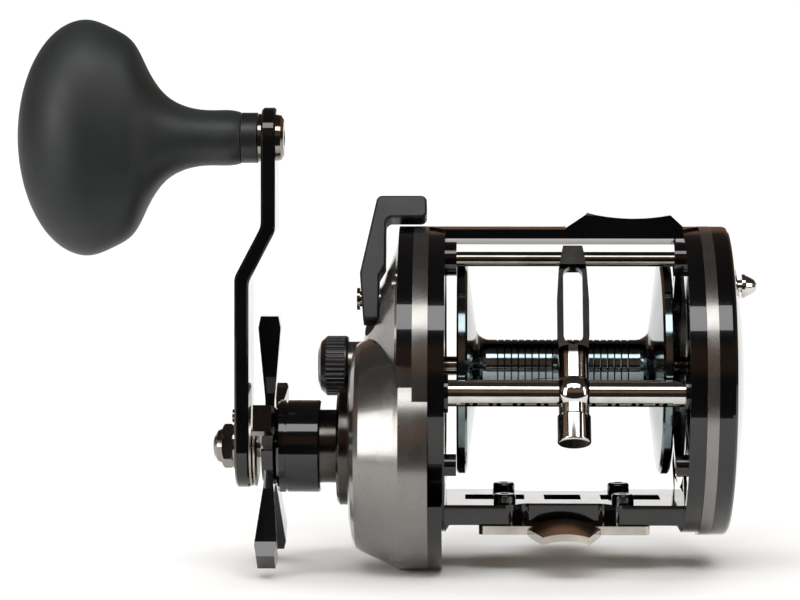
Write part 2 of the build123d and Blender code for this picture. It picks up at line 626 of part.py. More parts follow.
def spool_shaft():
    """The shaft through the spool and both bearings, from the cast control to the click wheel."""
    return bar(SHAFT_END, SHAFT_LEFT, SPOOL_SHAFT_RADIUS, SPOOL_AXIS)


def click_ratchet():
    """The click wheel on the spool shaft's left end."""
    sketch = ratchet_sketch(RATCHET_TEETH, RATCHET_ROOT, RATCHET_TIP)
    wheel = slab(RATCHET_INNER, RATCHET_OUTER, spot(SPOOL_AXIS) * sketch)
    return wheel - bar(RATCHET_INNER, RATCHET_OUTER, SPOOL_SHAFT_RADIUS, SPOOL_AXIS)


# ---- left side ---------------------------------------------------------------------------------
BEARING_RADIUS = 5.5
BEARING_WIDTH = 3.0
BUTTON_AXIS = polar(CENTRE, PLATE_RADIUS - 15.1, 100)
BUTTON_TRAVEL = 4.0
BUTTON_RADIUS = 1.6
BUTTON_HEAD = 3.1


def left_side_plate():
    """The gunmetal plate on the left ring, with the spool's left bearing seat."""
    plate = bar(OUTER, LEFT_FACE, PLATE_RADIUS, CENTRE)
    plate += bar(OUTER - 2, OUTER, OPENING_RADIUS - 0.3, SPOOL_AXIS)
    plate -= bar(OUTER - 2, OUTER - 0.5, OPENING_RADIUS - 2.3, SPOOL_AXIS)
    plate += bar(OUTER - 2, LEFT_FACE, BEARING_RADIUS + 1.6, SPOOL_AXIS)
    plate -= bar(OUTER - 2, OUTER - 0.6, SPOOL_SHAFT_RADIUS + 1, SPOOL_AXIS)
    plate -= bar(OUTER - 2, LEFT_FACE, SPOOL_SHAFT_RADIUS + 0.6, SPOOL_AXIS)
    plate -= bar(LEFT_FACE - BEARING_WIDTH, LEFT_FACE, BEARING_RADIUS, SPOOL_AXIS)
    for axis in SCREW_AXES:
        plate -= bar(OUTER, LEFT_FACE, PLATE_SCREW_RADIUS, axis)
    return plate


def dome_profile(rim_x, edge, height, radius):
    """Outline points of a shallow dome from its rounded rim to its top, as (x, radius)."""
    points = [(rim_x, radius), (rim_x + COVER_RIM - edge, radius)]
    for step in range(1, 4):
        turn = radians(30 * step)
        points.append((rim_x + COVER_RIM - edge + edge * sin(turn), radius - edge + edge * cos(turn)))
    crown = radius - edge
    for step in range(1, 8):
        r = crown * (1 - step / 7)
        points.append((rim_x + COVER_RIM + height * (1 - (r / crown) ** 2), r))
    return points


def left_side_cover():
    """The black domed cover over the click mechanism."""
    shell = turned(dome_profile(LEFT_FACE, COVER_EDGE, COVER_DOME, PLATE_RADIUS) + [(LEFT_FACE, 0)], CENTRE)
    hollow = dome_profile(LEFT_FACE, COVER_EDGE, COVER_DOME, PLATE_RADIUS - CASE_WALL)
    inner = [(LEFT_FACE, PLATE_RADIUS - CASE_WALL)] + [(x - CASE_WALL, r) for x, r in hollow[1:]]
    shell -= turned(inner + [(LEFT_FACE, 0)], CENTRE)
    for axis in SCREW_AXES:
        shell += bar(LEFT_FACE, COVER_STEP - 0.4, PLATE_SCREW_HEAD + 1.2, axis)
        shell -= bar(LEFT_FACE, COVER_STEP + 4, PLATE_SCREW_RADIUS, axis)
        shell -= bar(COVER_STEP - SCREW_HEAD_DEPTH, COVER_STEP + 4, PLATE_SCREW_HEAD, axis)
    y, z = BUTTON_AXIS
    width = 2 * BUTTON_RADIUS + 0.4
    slot = Pos(y, z - BUTTON_TRAVEL / 2) * SlotOverall(BUTTON_TRAVEL + width, width, rotation=90)
    return shell - slab(COVER_STEP - 3, COVER_STEP + 8, slot)


def plate_screws(side):
    """The three screws that hold one side's plates to its ring."""
    head = COVER_STEP if side > 0 else CONE_START + 0.2
    tip = side * (OUTER - PLATE_SCREW_BITE + 0.2)
    radius = PLATE_SCREW_HEAD - RUN_GAP
    sizes = (radius, SCREW_HEAD_DEPTH, PLATE_SCREW_RADIUS)
    return [screw(head, tip, *sizes, axis, SCREW_SOCKET) for axis in SCREW_AXES]


def click_button():
    """The silver click button: a domed head on a stem, in the cover's slot."""
    lowest = hypot(BUTTON_AXIS[0], BUTTON_AXIS[1] - PLATE_HEIGHT - BUTTON_TRAVEL) - BUTTON_HEAD
    face = COVER_STEP + COVER_DOME * (1 - (lowest / PLATE_RADIUS) ** 2) + 0.1
    outline = [(face, 0), (face, BUTTON_HEAD), (face + 0.8, BUTTON_HEAD), (face + 1.2, BUTTON_HEAD - 0.3),
               (face + 2.6, 2.1), (face + 3.4, 1.6), (face + 3.8, 0.9), (face + 3.9, 0)]
    return turned(outline, BUTTON_AXIS) + bar(RATCHET_OUTER + 0.6, face, BUTTON_RADIUS, BUTTON_AXIS)


def click_pawl():
    """The click pawl under the button, short of the click wheel."""
    y, z = BUTTON_AXIS
    tip = (SPOOL_AXIS[0], SPOOL_AXIS[1] + RATCHET_TIP + FREE_GAP + BUTTON_TRAVEL)
    corners = [(y - 2.4, z + 2.4), (y + 2.4, z + 2.4), (y + 2.4, z - 3.0), tip, (y - 2.4, z - 3.0)]
    outline = Polyline(*corners, close=True)
    stem = bar(RATCHET_OUTER, RATCHET_OUTER + 0.6, BUTTON_RADIUS, BUTTON_AXIS)
    return slab(RATCHET_INNER, RATCHET_OUTER, make_face(outline)) + stem


# ---- clutch lever ------------------------------------------------------------------------------
LEVER_AXIS = (-9.0, PLATE_HEIGHT + PLATE_RADIUS - 18.7)
LEVER_LEAN = 20.0         # degrees back from upright, at rest
LEVER_OUTER = -(OUTER + 18.0)
LEVER_INNER = -(OUTER + 11.3)
LEVER_TAB_END = -(OUTER + 0.7)
LEVER_HUB_FACE = -(OUTER + 12.9)
LEVER_LENGTH = 27.3
LEVER_TAB_THICK = 6.0
LEVER_WIDTH = 7.0
LEVER_SHAFT_RADIUS = 2.0
LEVER_SPOT_RADIUS = 9.6
CAM_INNER = -(OUTER + 4.0)
CAM_WIDTH = 1.4


def lever_place():
    """A location on the lever's axis whose z leans with the lever."""
    return Pos(0, *LEVER_AXIS) * Rot(-LEVER_LEAN, 0, 0)


def clutch_lever():
    """The freespool lever: an arm over the side plate with a thumb tab on top."""
    top = LEVER_LENGTH
    tab = top - LEVER_TAB_THICK
    corners = [(LEVER_TAB_END, top), (LEVER_TAB_END - 12.9, top)]
    corners += [(LEVER_OUTER, 6.2), (LEVER_OUTER + 1.0, -6.3)]
    corners += [(LEVER_HUB_FACE, -6.3), (LEVER_HUB_FACE, 5.6), (LEVER_INNER, 8.4), (LEVER_INNER, tab)]
    corners += [(LEVER_TAB_END, tab)]
    side = make_face(Polyline(*corners, close=True))
    arm = extrude(Plane.XZ * side, amount=LEVER_WIDTH / 2, both=True)
    upper = [edge for edge in arm.edges().filter_by(Axis.Y) if edge.center().Z > tab - 1]
    arm = fillet(upper, 1.6)
    sides = arm.faces().sort_by(Axis.Y)
    arm = chamfer(sides[0].edges() + sides[-1].edges(), 0.5)
    arm -= bar(LEVER_OUTER - 1, LEVER_HUB_FACE + 1, LEVER_SHAFT_RADIUS, (0, 0))
    return lever_place() * arm


def lever_shaft():
    """The shaft that carries the lever outside and the clutch cam inside."""
    return bar(LEVER_HUB_FACE - 3.4, BRIDGE_FACE - FREE_GAP, LEVER_SHAFT_RADIUS, LEVER_AXIS)


def lever_screw():
    """The screw in the lever's hub."""
    outer = LEVER_OUTER + 0.1
    head = bar(outer, LEVER_HUB_FACE - 3.4, LEVER_SHAFT_RADIUS, LEVER_AXIS)
    head += bar(outer, outer - 0.8, 2.9, LEVER_AXIS)
    return head - slab(outer - 0.8, outer - 0.2, spot(LEVER_AXIS) * Rectangle(1.0, 8))


def clutch_cam():
    """The cam on the lever's shaft that lifts the yoke."""
    plate = spot(LEVER_AXIS) * (Circle(4.6) + Rot(0, 0, 220) * Pos(4.5, 0) * Rectangle(9, 5))
    cam = slab(CAM_INNER, CAM_INNER + CAM_WIDTH, plate)
    return cam - bar(CAM_INNER, CAM_INNER + CAM_WIDTH, LEVER_SHAFT_RADIUS, LEVER_AXIS)


# ---- handle-side casings -----------------------------------------------------------------------
NECK_RADIUS = 6.4         # the neck for the spool's cast control
RECESS_RADIUS = 10.4


def plate_profile(wall):
    """The plate's outside, or its inside a wall thickness in, as (x, radius) points."""
    rim = PLATE_RADIUS - wall
    step = rim - TRIM_STEP
    top = CONE_END - 1.2 + wall
    points = [(-OUTER, rim), (BAND_END, rim), (BAND_END, step), (TRIM_END + wall / 2, step)]
    points += [(CONE_START + wall, CONE_FOOT_RADIUS - wall), (CONE_END + wall, CONE_TOP_RADIUS - wall / 2)]
    return points + [(top, CONE_TOP_RADIUS - 4), (top, 0), (-OUTER, 0)]


def bulge_profile(wall):
    """The gear housing's outside, or its inside a wall thickness in."""
    points = [(-OUTER, BULGE_RADIUS - wall), (BULGE_EDGE + 0.8 + wall / 2, BULGE_RADIUS - wall),
              (BULGE_EDGE - 0.4 + wall / 2, BULGE_RADIUS - wall - 0.6)]
    for step in range(5):
        turn = radians(22.5 * step)
        x = BULGE_FACE - BULGE_ROUND * sin(turn) + wall
        r = BULGE_NOSE + (BULGE_SHOULDER - BULGE_NOSE) * cos(turn) - wall * 0.7
        points.append((x, r))
    return points + [(NOSE_END + wall, 0), (-OUTER, 0)]


def handle_side_plate():
    """The gunmetal side casing: round plate, domed face and the gear housing that stands out of it."""
    outside = turned(plate_profile(0), CENTRE) + turned(bulge_profile(0), DRIVE_AXIS)
    inside = turned(plate_profile(CASE_WALL), CENTRE) + turned(bulge_profile(CASE_WALL), DRIVE_AXIS)
    inside += bar(-OUTER, WORM_GEAR_OUTER - 0.15, 5.1, WORM_AXIS)
    solid = outside - bar(RECESS_FLOOR, NOSE_END - 5, RECESS_RADIUS, SPOOL_AXIS)
    solid -= bar(LEVER_HUB_FACE + 0.3, LEVER_HUB_FACE - 12, LEVER_SPOT_RADIUS, LEVER_AXIS)
    inside -= bar(RECESS_FLOOR + CASE_WALL, NOSE_END, RECESS_RADIUS + CASE_WALL, SPOOL_AXIS)
    inside -= bar(LEVER_HUB_FACE + 2.2, NOSE_END, LEVER_SPOT_RADIUS + 1, LEVER_AXIS)
    solid -= inside
    solid += bar(RECESS_FLOOR + 1, NECK_END, NECK_RADIUS, SPOOL_AXIS)
    solid -= bar(RECESS_FLOOR + 3, NECK_END, SPOOL_SHAFT_RADIUS + 0.6, SPOOL_AXIS)
    solid -= bar(RECESS_FLOOR + CASE_WALL, RECESS_FLOOR - 2.6, BEARING_RADIUS - 0.5, SPOOL_AXIS)
    for axis in SCREW_AXES:
        solid += bar(-OUTER - BRIDGE_THICK, CONE_START + 0.8, PLATE_SCREW_HEAD + 0.8, axis)
        solid -= bar(-OUTER, CONE_START - 4, PLATE_SCREW_RADIUS, axis)
        solid -= bar(CONE_START + 0.2 + SCREW_HEAD_DEPTH, CONE_START - 6, PLATE_SCREW_HEAD, axis)
    solid -= bar(-OUTER, NOSE_END - 2, 9.1, DRIVE_AXIS)
    solid -= bar(CAP_INNER, NOSE_END - 2, CAP_RADIUS, DRIVE_AXIS)
    solid -= bar(-OUTER, NOSE_END, LEVER_SHAFT_RADIUS + RUN_GAP, LEVER_AXIS)
    solid -= bar(-OUTER, BRIDGE_FACE, PLATE_RADIUS - CASE_WALL, CENTRE)
    return solid


def handle_side_trim():
    """The black trim ring in the plate's step; the gear housing interrupts it."""
    trim = bar(BAND_END, TRIM_END, PLATE_RADIUS, CENTRE, PLATE_RADIUS - TRIM_STEP)
    return trim - bar(BAND_END + 1, TRIM_END - 1, BULGE_RADIUS + 4.5, DRIVE_AXIS)


def gear_case_cover():
    """The black inner cover that closes the gear housing where it stands below the ring."""
    cover = bar(-OUTER, -OUTER + CASE_COVER_WIDTH, BULGE_RADIUS - 0.3, DRIVE_AXIS)
    cover -= bar(-OUTER - 1, -OUTER + CASE_COVER_WIDTH + 1, RIM + 0.05, CENTRE)
    base_room = Pos(-OUTER, 0, BASE_BOTTOM) * Box(20, BASE_DEPTH + 4, 14)
    keep = Pos(0, 0, -20) * Box(200, 200, 60)
    return (cover - base_room) & keep


def bridge_plate():
    """The inner plate that carries the gear train's posts and bearings."""
    plate = bar(-OUTER, BRIDGE_FACE, PLATE_RADIUS - CASE_WALL - 0.1, CENTRE)
    plate += bar(-OUTER, -OUTER + 2, OPENING_RADIUS - 0.3, SPOOL_AXIS)
    plate -= bar(-OUTER - 0.5, -OUTER + 2, OPENING_RADIUS - 2.4, SPOOL_AXIS)
    plate += bar(-OUTER + 2, BRIDGE_FACE, BEARING_RADIUS + 1.6, SPOOL_AXIS)
    plate -= bar(-OUTER + 2, BRIDGE_FACE, SPOOL_SHAFT_RADIUS + 0.6, SPOOL_AXIS)
    plate -= bar(BRIDGE_FACE + BEARING_WIDTH, BRIDGE_FACE, BEARING_RADIUS, SPOOL_AXIS)
    boss = bar(-OUTER + 2, -OUTER, DRIVE_END_RADIUS + 2.6, DRIVE_AXIS)
    plate += boss & bar(0, -OUTER, OPENING_RADIUS - 0.3, SPOOL_AXIS)
    plate -= bar(-OUTER + 1, BRIDGE_FACE, DRIVE_END_RADIUS + RUN_GAP, DRIVE_AXIS)
    plate -= bar(-OUTER, BRIDGE_FACE, 1.5, IDLER_AXIS)
    plate -= bar(-OUTER, BRIDGE_FACE, 1.5 + FREE_GAP, WORM_AXIS)
    for axis in SCREW_AXES:
        plate -= bar(-OUTER, BRIDGE_FACE, PLATE_SCREW_RADIUS, axis)
    for axis in YOKE_POSTS + [DOG_AXIS]:
        plate -= bar(-OUTER, BRIDGE_FACE, POST_PIN_RADIUS, axis)
    return plate


# ---- pinion, yoke and its posts ----------------------------------------------------------------
GEAR_WIDTH = 3.6
PINION_OUTER = GEAR_OUTER - 0.4
PINION_INNER = -(OUTER + 5.0)
YOKE_THICK = 0.8
YOKE_NECK = 3.4
POST_PIN_RADIUS = 1.2
POST_END = YOKE_OUTER - 3.6
POST_UP = 11.0
POST_SIDE = 9.0
UP_TURN = DRIVE_DIRECTION - 180
YOKE_MIDDLE = polar(SPOOL_AXIS, POST_UP, UP_TURN)
YOKE_POSTS = [polar(YOKE_MIDDLE, POST_SIDE * side, UP_TURN + 90) for side in (-1, 1)]
DOG_AXIS = polar(DRIVE_AXIS, 17.0, -8)
RATCHET_RADIUS = 10.0
RATCHET_WIDTH = 1.6
DOG_SWING_LENGTH = 6.5


def pinion():
    """The pinion that slides on the spool shaft, with a neck for the yoke."""
    phase = DRIVE_DIRECTION + 180 / PINION_TEETH
    sketch = gear_sketch(PINION_TEETH, DRIVE_MODULE, phase)
    body = slab(PINION_OUTER, PINION_INNER, spot(SPOOL_AXIS) * sketch)
    body -= bar(YOKE_OUTER - 0.2, PINION_INNER - 0.3, 8, SPOOL_AXIS, YOKE_NECK)
    return body - bar(PINION_OUTER, PINION_INNER, SPOOL_SHAFT_RADIUS + RUN_GAP, SPOOL_AXIS)


def pinion_yoke():
    """The fork in the pinion's neck; it slides on two posts."""
    bridge = Pos(POST_UP, 0) * Rectangle(5.4, 2 * POST_SIDE + 5)
    arms = Pos(POST_UP / 2 - 1.2, 0) * Rectangle(POST_UP - 0.4, 13.6)
    mouth = YOKE_NECK + SLIDE_GAP
    sketch = bridge + arms - Circle(mouth) - Pos(-4, 0) * Rectangle(8, 2 * mouth)
    for side in (-1, 1):
        sketch -= Pos(POST_UP, side * POST_SIDE) * Circle(POST_PIN_RADIUS + RUN_GAP)
    return slab(YOKE_OUTER, YOKE_OUTER + YOKE_THICK, spot(SPOOL_AXIS) * Rot(0, 0, UP_TURN) * sketch)


def bridge_posts():
    """The yoke's two posts with their heads, and the dog's plain post, riveted in the bridge plate."""
    posts = [bar(-OUTER, RATCHET_X - 0.1, POST_PIN_RADIUS, DOG_AXIS)]
    for axis in YOKE_POSTS:
        posts.append(bar(-OUTER, POST_END, POST_PIN_RADIUS, axis) + bar(POST_END, POST_END - 0.5, 2.2, axis))
    return posts


def yoke_springs():
    """The springs on the posts that press the yoke towards the spool."""
    springs = []
    for y, z in YOKE_POSTS:
        springs.append(coil_spring((POST_END + 0.3, y, z), 1.75, 0.2, 0.8, 3.6))
    return springs


# ---- drive shaft and drag ----------------------------------------------------------------------
NUT_FLATS = 10.0
GEAR_RECESS = 13.2        # radius of the drag's recess in the main gear
GEAR_FLOOR = 0.8
CAP_BORE = 6.2
WASHER_COUNT = 3
FIBRE_THICK = 0.5
METAL_THICK = 0.5


def drive_shaft():
    """The shaft that the handle turns: a large journal in the case and a long reduced end."""
    shaft = bar(-OUTER + 0.8, BRIDGE_FACE, DRIVE_END_RADIUS, DRIVE_AXIS)
    shaft += bar(BRIDGE_FACE - 0.2, CAP_OUTER - 1, DRIVE_RADIUS, DRIVE_AXIS)
    shaft += bar(BRIDGE_FACE, BRIDGE_FACE - 0.2, DRIVE_END_RADIUS, DRIVE_AXIS)
    return shaft + bar(CAP_OUTER - 1, NUT_END + 2.4, DRIVE_END_RADIUS, DRIVE_AXIS)


def main_gear():
    """The main gear, recessed for the drag washers."""
    sketch = gear_sketch(MAIN_TEETH, DRIVE_MODULE, DRIVE_DIRECTION + 180)
    gear = slab(GEAR_OUTER, GEAR_OUTER + GEAR_WIDTH, spot(DRIVE_AXIS) * sketch)
    gear -= bar(GEAR_OUTER, GEAR_OUTER + GEAR_WIDTH - GEAR_FLOOR, GEAR_RECESS, DRIVE_AXIS)
    for hole in range(6):
        gear -= bar(GEAR_OUTER - 1, GEAR_OUTER + 5, 1.7, polar(DRIVE_AXIS, 16.3, 60 * hole))
    return gear - bar(GEAR_OUTER - 1, GEAR_OUTER + 5, DRIVE_RADIUS + RUN_GAP, DRIVE_AXIS)


def drag_stack(fibre):
    """The fibre or the metal washers of the drag, laid one on the other in the main gear."""
    washers = []
    floor = GEAR_OUTER + GEAR_WIDTH - GEAR_FLOOR - RUN_GAP
    for layer in range(WASHER_COUNT):
        x = floor - layer * (FIBRE_THICK + METAL_THICK)
        if fibre:
            washers.append(bar(x, x - FIBRE_THICK, GEAR_RECESS - 0.2, DRIVE_AXIS, DRIVE_RADIUS + SLIDE_GAP))
        else:
            under = x - FIBRE_THICK
            washers.append(bar(under, under - METAL_THICK, GEAR_RECESS - 0.6, DRIVE_AXIS, DRIVE_RADIUS))
    return washers


def anti_reverse_ratchet():
    """The ratchet on the drive shaft that the dog stops."""
    sketch = ratchet_sketch(12, RATCHET_RADIUS - 1.6, RATCHET_RADIUS)
    wheel = slab(RATCHET_X, RATCHET_X + RATCHET_WIDTH, spot(DRIVE_AXIS) * sketch)
    return wheel - bar(RATCHET_X, RATCHET_X + RATCHET_WIDTH, DRIVE_RADIUS, DRIVE_AXIS)


def anti_reverse_dog():
    """The dog that drops into the ratchet, turning on its post."""
    y, z = DOG_AXIS
    tail = polar(DOG_AXIS, DOG_SWING_LENGTH, 95)
    point = polar(DRIVE_AXIS, RATCHET_RADIUS + 0.9, 12)
    corners = [(y + 2.2, z - 2.0), (tail[0] + 1.2, tail[1]), point, (y - 2.6, z - 1.0)]
    outline = make_face(Polyline(*corners, close=True)) + spot(DOG_AXIS) * Circle(2.8)
    body = slab(RATCHET_X, RATCHET_X + RATCHET_WIDTH, outline)
    return body - bar(RATCHET_X - 1, RATCHET_X + 5, POST_PIN_RADIUS + RUN_GAP, DOG_AXIS)


def dog_spring():
    """The small coil that holds the dog, wound round its post behind it."""
    return coil_spring((BRIDGE_FACE - 2.0, *DOG_AXIS), 1.75, 0.2, 0.6, 2.4)


def bearing_cap():
    """The gunmetal cap, pressed in the gear housing's nose, round the shaft's outer bearing."""
    outside = [(CAP_INNER, CAP_RADIUS), (CAP_OUTER + 0.7, CAP_RADIUS), (CAP_OUTER, CAP_RADIUS - 0.9)]
    seat = [(CAP_OUTER, CAP_BORE), (CAP_OUTER + 0.8, CAP_BORE), (CAP_OUTER + 0.8, 9.0), (CAP_INNER, 9.0)]
    return turned(outside + seat, DRIVE_AXIS)


def drag_tube():
    """The polished tube that stands out of the cap, under the sleeve."""
    return bar(CAP_OUTER, TUBE_END, DRAG_TUBE_RADIUS, DRIVE_AXIS, CAP_BORE)


def drag_sleeve():
    """The black sleeve that carries the star's pressure to the drag."""
    x0, x1, r = SLEEVE_INNER, SLEEVE_OUTER, SLEEVE_RADIUS
    bore = DRIVE_END_RADIUS + RUN_GAP
    pocket = DRAG_TUBE_RADIUS + SLIDE_GAP
    floor = TUBE_END - 0.9
    outside = [(x0, r - 0.5), (x0 - 0.5, r), (x1 + 2.6, r), (x1 + 2.6, r - 0.5), (x1 + 2.2, r - 0.5)]
    outside += [(x1 + 2.2, r), (x1 + 0.6, r), (x1, r - 0.6)]
    return turned(outside + [(x1, bore), (floor, bore), (floor, pocket), (x0, pocket)], DRIVE_AXIS)


def star_wheel():
    """The star: a hub and five arms that widen towards their tips."""
    middle = (STAR_FACE + STAR_BACK) / 2
    bore = DRIVE_END_RADIUS + RUN_GAP
    outline = [(STAR_BACK, bore), (STAR_BACK, 9.5), (STAR_BACK - 0.8, 10.3), (STAR_FACE, 9.2)]
    hub = turned(outline + [(STAR_FACE, bore)], (0, 0))
    edge = [(1.2, 5), (1.2, 12), (2.9, STAR_TIP - 3), (2.3, STAR_TIP)]
    side = [(middle + x, up) for x, up in edge] + [(middle - x, up) for x, up in edge[::-1]]
    arm = extrude(Plane.XZ * make_face(Polyline(*side, close=True)), amount=3.65, both=True)
    edge = [(3.6, 5), (2.6, 14), (3.65, STAR_TIP - 4), (3.3, STAR_TIP + 1)]
    waist = edge + [(-y, up) for y, up in edge[::-1]]
    arm &= slab(middle - 6, middle + 6, make_face(Polyline(*waist, close=True)))
    arm -= bar(middle - 6, middle + 6, DRIVE_END_RADIUS + 2, (0, 0))
    solid = hub
    for index in range(STAR_ARMS):
        solid += Rot(360 * index / STAR_ARMS, 0, 0) * arm
    return Pos(0, *DRIVE_AXIS) * solid


def spring_washers():
    """Two dished washers between the arm and the star."""
    washers = []
    bore = DRIVE_END_RADIUS
    for x in (ARM_LOW + ARM_THICK, ARM_LOW + ARM_THICK + 1.0):
        outline = [(x, bore), (x + 0.9, bore), (x + 0.9, 8.6), (x + 0.5, 10.4), (x, 10.4)]
        washers.append(turned(outline, DRIVE_AXIS))
    return washers


# ---- handle ------------------------------------------------------------------------------------
KNOB_AXIS = (DRIVE_AXIS[0], DRIVE_AXIS[1] + ARM_LENGTH)
ARM_HIGH = ARM_LOW + ARM_JOGGLE          # arm's outer face at the knob
KNOB_START = ARM_HIGH - 1.2
SPINDLE_RADIUS = 3.0
LOCK_SCREW_UP = 7.8
NUT_WASHER_RADIUS = 5.9


def handle_arm():
    """The handle arm: a flat bar with a joggle, wider at the hub than at the knob."""
    y, z = DRIVE_AXIS
    low = z - ARM_HUB_RADIUS
    high = z + ARM_LENGTH + ARM_END_RADIUS
    bend0 = z + JOGGLE_START
    bend1 = z + JOGGLE_END
    corners = [(ARM_LOW, low), (ARM_LOW, bend0), (ARM_HIGH, bend1), (ARM_HIGH, high)]
    corners += [(ARM_HIGH + ARM_THICK, high), (ARM_HIGH + ARM_THICK, bend1 - 1.2)]
    corners += [(ARM_LOW + ARM_THICK, bend0 - 1.2), (ARM_LOW + ARM_THICK, low)]
    side = make_face(Polyline(*corners, close=True))
    bar_solid = Pos(0, y, 0) * extrude(Plane.XZ * side, amount=ARM_HUB_RADIUS, both=True)
    bends = [edge for edge in bar_solid.edges().filter_by(Axis.Y) if low + 5 < edge.center().Z < high - 5]
    bar_solid = fillet(bends, 5.0)
    front = spot(DRIVE_AXIS) * Circle(ARM_HUB_RADIUS) + spot(KNOB_AXIS) * Circle(ARM_END_RADIUS)
    top = z + ARM_LENGTH
    taper = [(y - ARM_HUB_RADIUS, z), (y + ARM_HUB_RADIUS, z)]
    taper += [(y + ARM_END_RADIUS, top), (y - ARM_END_RADIUS, top)]
    front += make_face(Polyline(*taper, close=True))
    solid = bar_solid & slab(ARM_LOW - 5, ARM_HIGH + ARM_THICK + 5, front)
    solid -= bar(ARM_LOW - 5, 0, DRIVE_END_RADIUS, DRIVE_AXIS)
    solid -= bar(ARM_LOW - 5, ARM_LOW + 10, 1.2, (y, z + LOCK_SCREW_UP))
    solid -= bar(ARM_LOW - 5, 0, SPINDLE_RADIUS, KNOB_AXIS)
    rim = [edge for edge in solid.edges() if edge.length > 15 and edge.geom_type == GeomType.CIRCLE]
    return chamfer(rim, 0.5) if rim else solid


def nut_washer():
    """The washer under the handle nut."""
    return bar(ARM_LOW, WASHER_OUTER, NUT_WASHER_RADIUS, DRIVE_AXIS, DRIVE_END_RADIUS)


def handle_nut():
    """The domed nut that holds the handle."""
    shoulder = NUT_END + 2.6
    flats = spot(DRIVE_AXIS) * RegularPolygon(NUT_FLATS / sqrt(3), 6, rotation=30)
    cone = [(WASHER_OUTER, 0), (WASHER_OUTER, 5.2), (WASHER_OUTER - 0.8, 5.9)]
    cone += [(NUT_END + 3.2, 5.9), (shoulder, 5.1), (shoulder, 0)]
    dome = [(shoulder, 0), (shoulder, 4.6), (NUT_END + 1.3, 4.0)]
    dome += [(NUT_END + 0.4, 2.6), (NUT_END, 1.0), (NUT_END, 0)]
    nut = (slab(shoulder, WASHER_OUTER, flats) & turned(cone, DRIVE_AXIS)) + turned(dome, DRIVE_AXIS)
    return nut - bar(WASHER_OUTER, NUT_END + 2.4, DRIVE_END_RADIUS, DRIVE_AXIS)


def lock_screw():
    """The small screw beside the nut that keeps it from backing off."""
    y, z = DRIVE_AXIS
    place = (y, z + LOCK_SCREW_UP)
    head = bar(ARM_LOW, ARM_LOW - 1.2, 1.7, place)
    head -= slab(ARM_LOW - 1.2, ARM_LOW - 0.7, spot(place) * Rectangle(0.6, 5))
    return head + bar(ARM_LOW, ARM_LOW + 3, 1.2, place)


def knob_spindle():
    """The spindle that the knob turns on, riveted through the arm, with its socket head inside."""
    inner_face = ARM_HIGH + ARM_THICK
    spindle = bar(inner_face, KNOB_START - 38, SPINDLE_RADIUS, KNOB_AXIS)
    end = inner_face + 1.9
    outline = [(inner_face, 0), (inner_face, 6.0), (inner_face + 1.2, 5.8), (end, 4.6), (end, 0)]
    socket = slab(inner_face + 0.6, inner_face + 2, spot(KNOB_AXIS) * RegularPolygon(2.2, 6))
    return spindle + turned(outline, KNOB_AXIS) - socket


def knob_washer():
    """The thin steel washer between the knob and the arm."""
    return bar(ARM_HIGH, ARM_HIGH - 0.9, 6.2, KNOB_AXIS, SPINDLE_RADIUS)


def knob_cap():
    """The ring at the knob's inner end."""
    end = KNOB_START - KNOB_CAP_LENGTH + 0.15
    return bar(KNOB_START, end, KNOB_NECK, KNOB_AXIS, SPINDLE_RADIUS + SLIDE_GAP)


def knob_station(distance):
    """Half height and half depth of the knob at a distance from its inner end."""
    head = 1 - ((distance - KNOB_HEAD_CENTRE) / KNOB_HEAD_HALF) ** 2
    swell = sqrt(head) if head > 0 else 0.0
    neck = KNOB_NECK + 0.0045 * distance ** 2 if distance < 20 else 0.0
    height = max(KNOB_HALF_HEIGHT * swell, neck)
    depth = max(KNOB_HALF_DEPTH * swell, min(neck, height))
    return height, depth


def handle_knob():
    """The soft knob: a round neck that flares into a tall oval head."""
    near = [KNOB_CAP_LENGTH + 0.15, 12.0, 18.0]
    flare = {23.5: (10.8, 9.4), 28.8: (18.3, 11.6), 32.5: (25.0, 13.6)}
    parts = (-0.37, 0, 0.34, 0.59, 0.78, 0.9, 0.965, 0.992)
    head = [KNOB_HEAD_CENTRE + KNOB_HEAD_HALF * part for part in parts]
    sections = []
    for distance in near + list(flare) + head:
        height, depth = flare[distance] if distance in flare else knob_station(distance)
        place = Plane(origin=(KNOB_START - distance, *KNOB_AXIS), x_dir=(0, 1, 0), z_dir=(1, 0, 0))
        sections.append(place * Ellipse(depth, height))
    body = loft(sections)
    return body - bar(KNOB_START, KNOB_START - 40, SPINDLE_RADIUS + SLIDE_GAP, KNOB_AXIS)


# ---- cast control ------------------------------------------------------------------------------
TENSION_RADIUS = 7.9
TENSION_INNER = NECK_END + 2.1
TENSION_OUTER = NECK_END - 6.1
KNURL_COUNT = 40


def tension_knob():
    """The knurled cast-control cap on the spool shaft's end."""
    bore = NECK_RADIUS + SLIDE_GAP
    r = TENSION_RADIUS
    end = TENSION_OUTER
    outline = [(TENSION_INNER, bore), (TENSION_INNER, r - 0.4), (TENSION_INNER - 0.5, r), (end + 2.6, r)]
    outline += [(end + 1.0, r - 1.4), (end + 0.2, r - 3.6), (end, 0)]
    outline += [(NECK_END - 0.8, 0), (NECK_END - 0.8, bore)]
    solid = turned(outline, SPOOL_AXIS)
    for index in range(KNURL_COUNT):
        y, z = polar(SPOOL_AXIS, TENSION_RADIUS + 0.25, 360 * index / KNURL_COUNT)
        solid -= bar(TENSION_INNER - 0.9, TENSION_OUTER + 2.2, 0.5, (y, z))
    return solid


def tension_disc():
    """The bronze disc between the cap and the shaft's end."""
    return bar(SHAFT_END - 0.15, NECK_END - 0.75, SPOOL_SHAFT_RADIUS, SPOOL_AXIS)


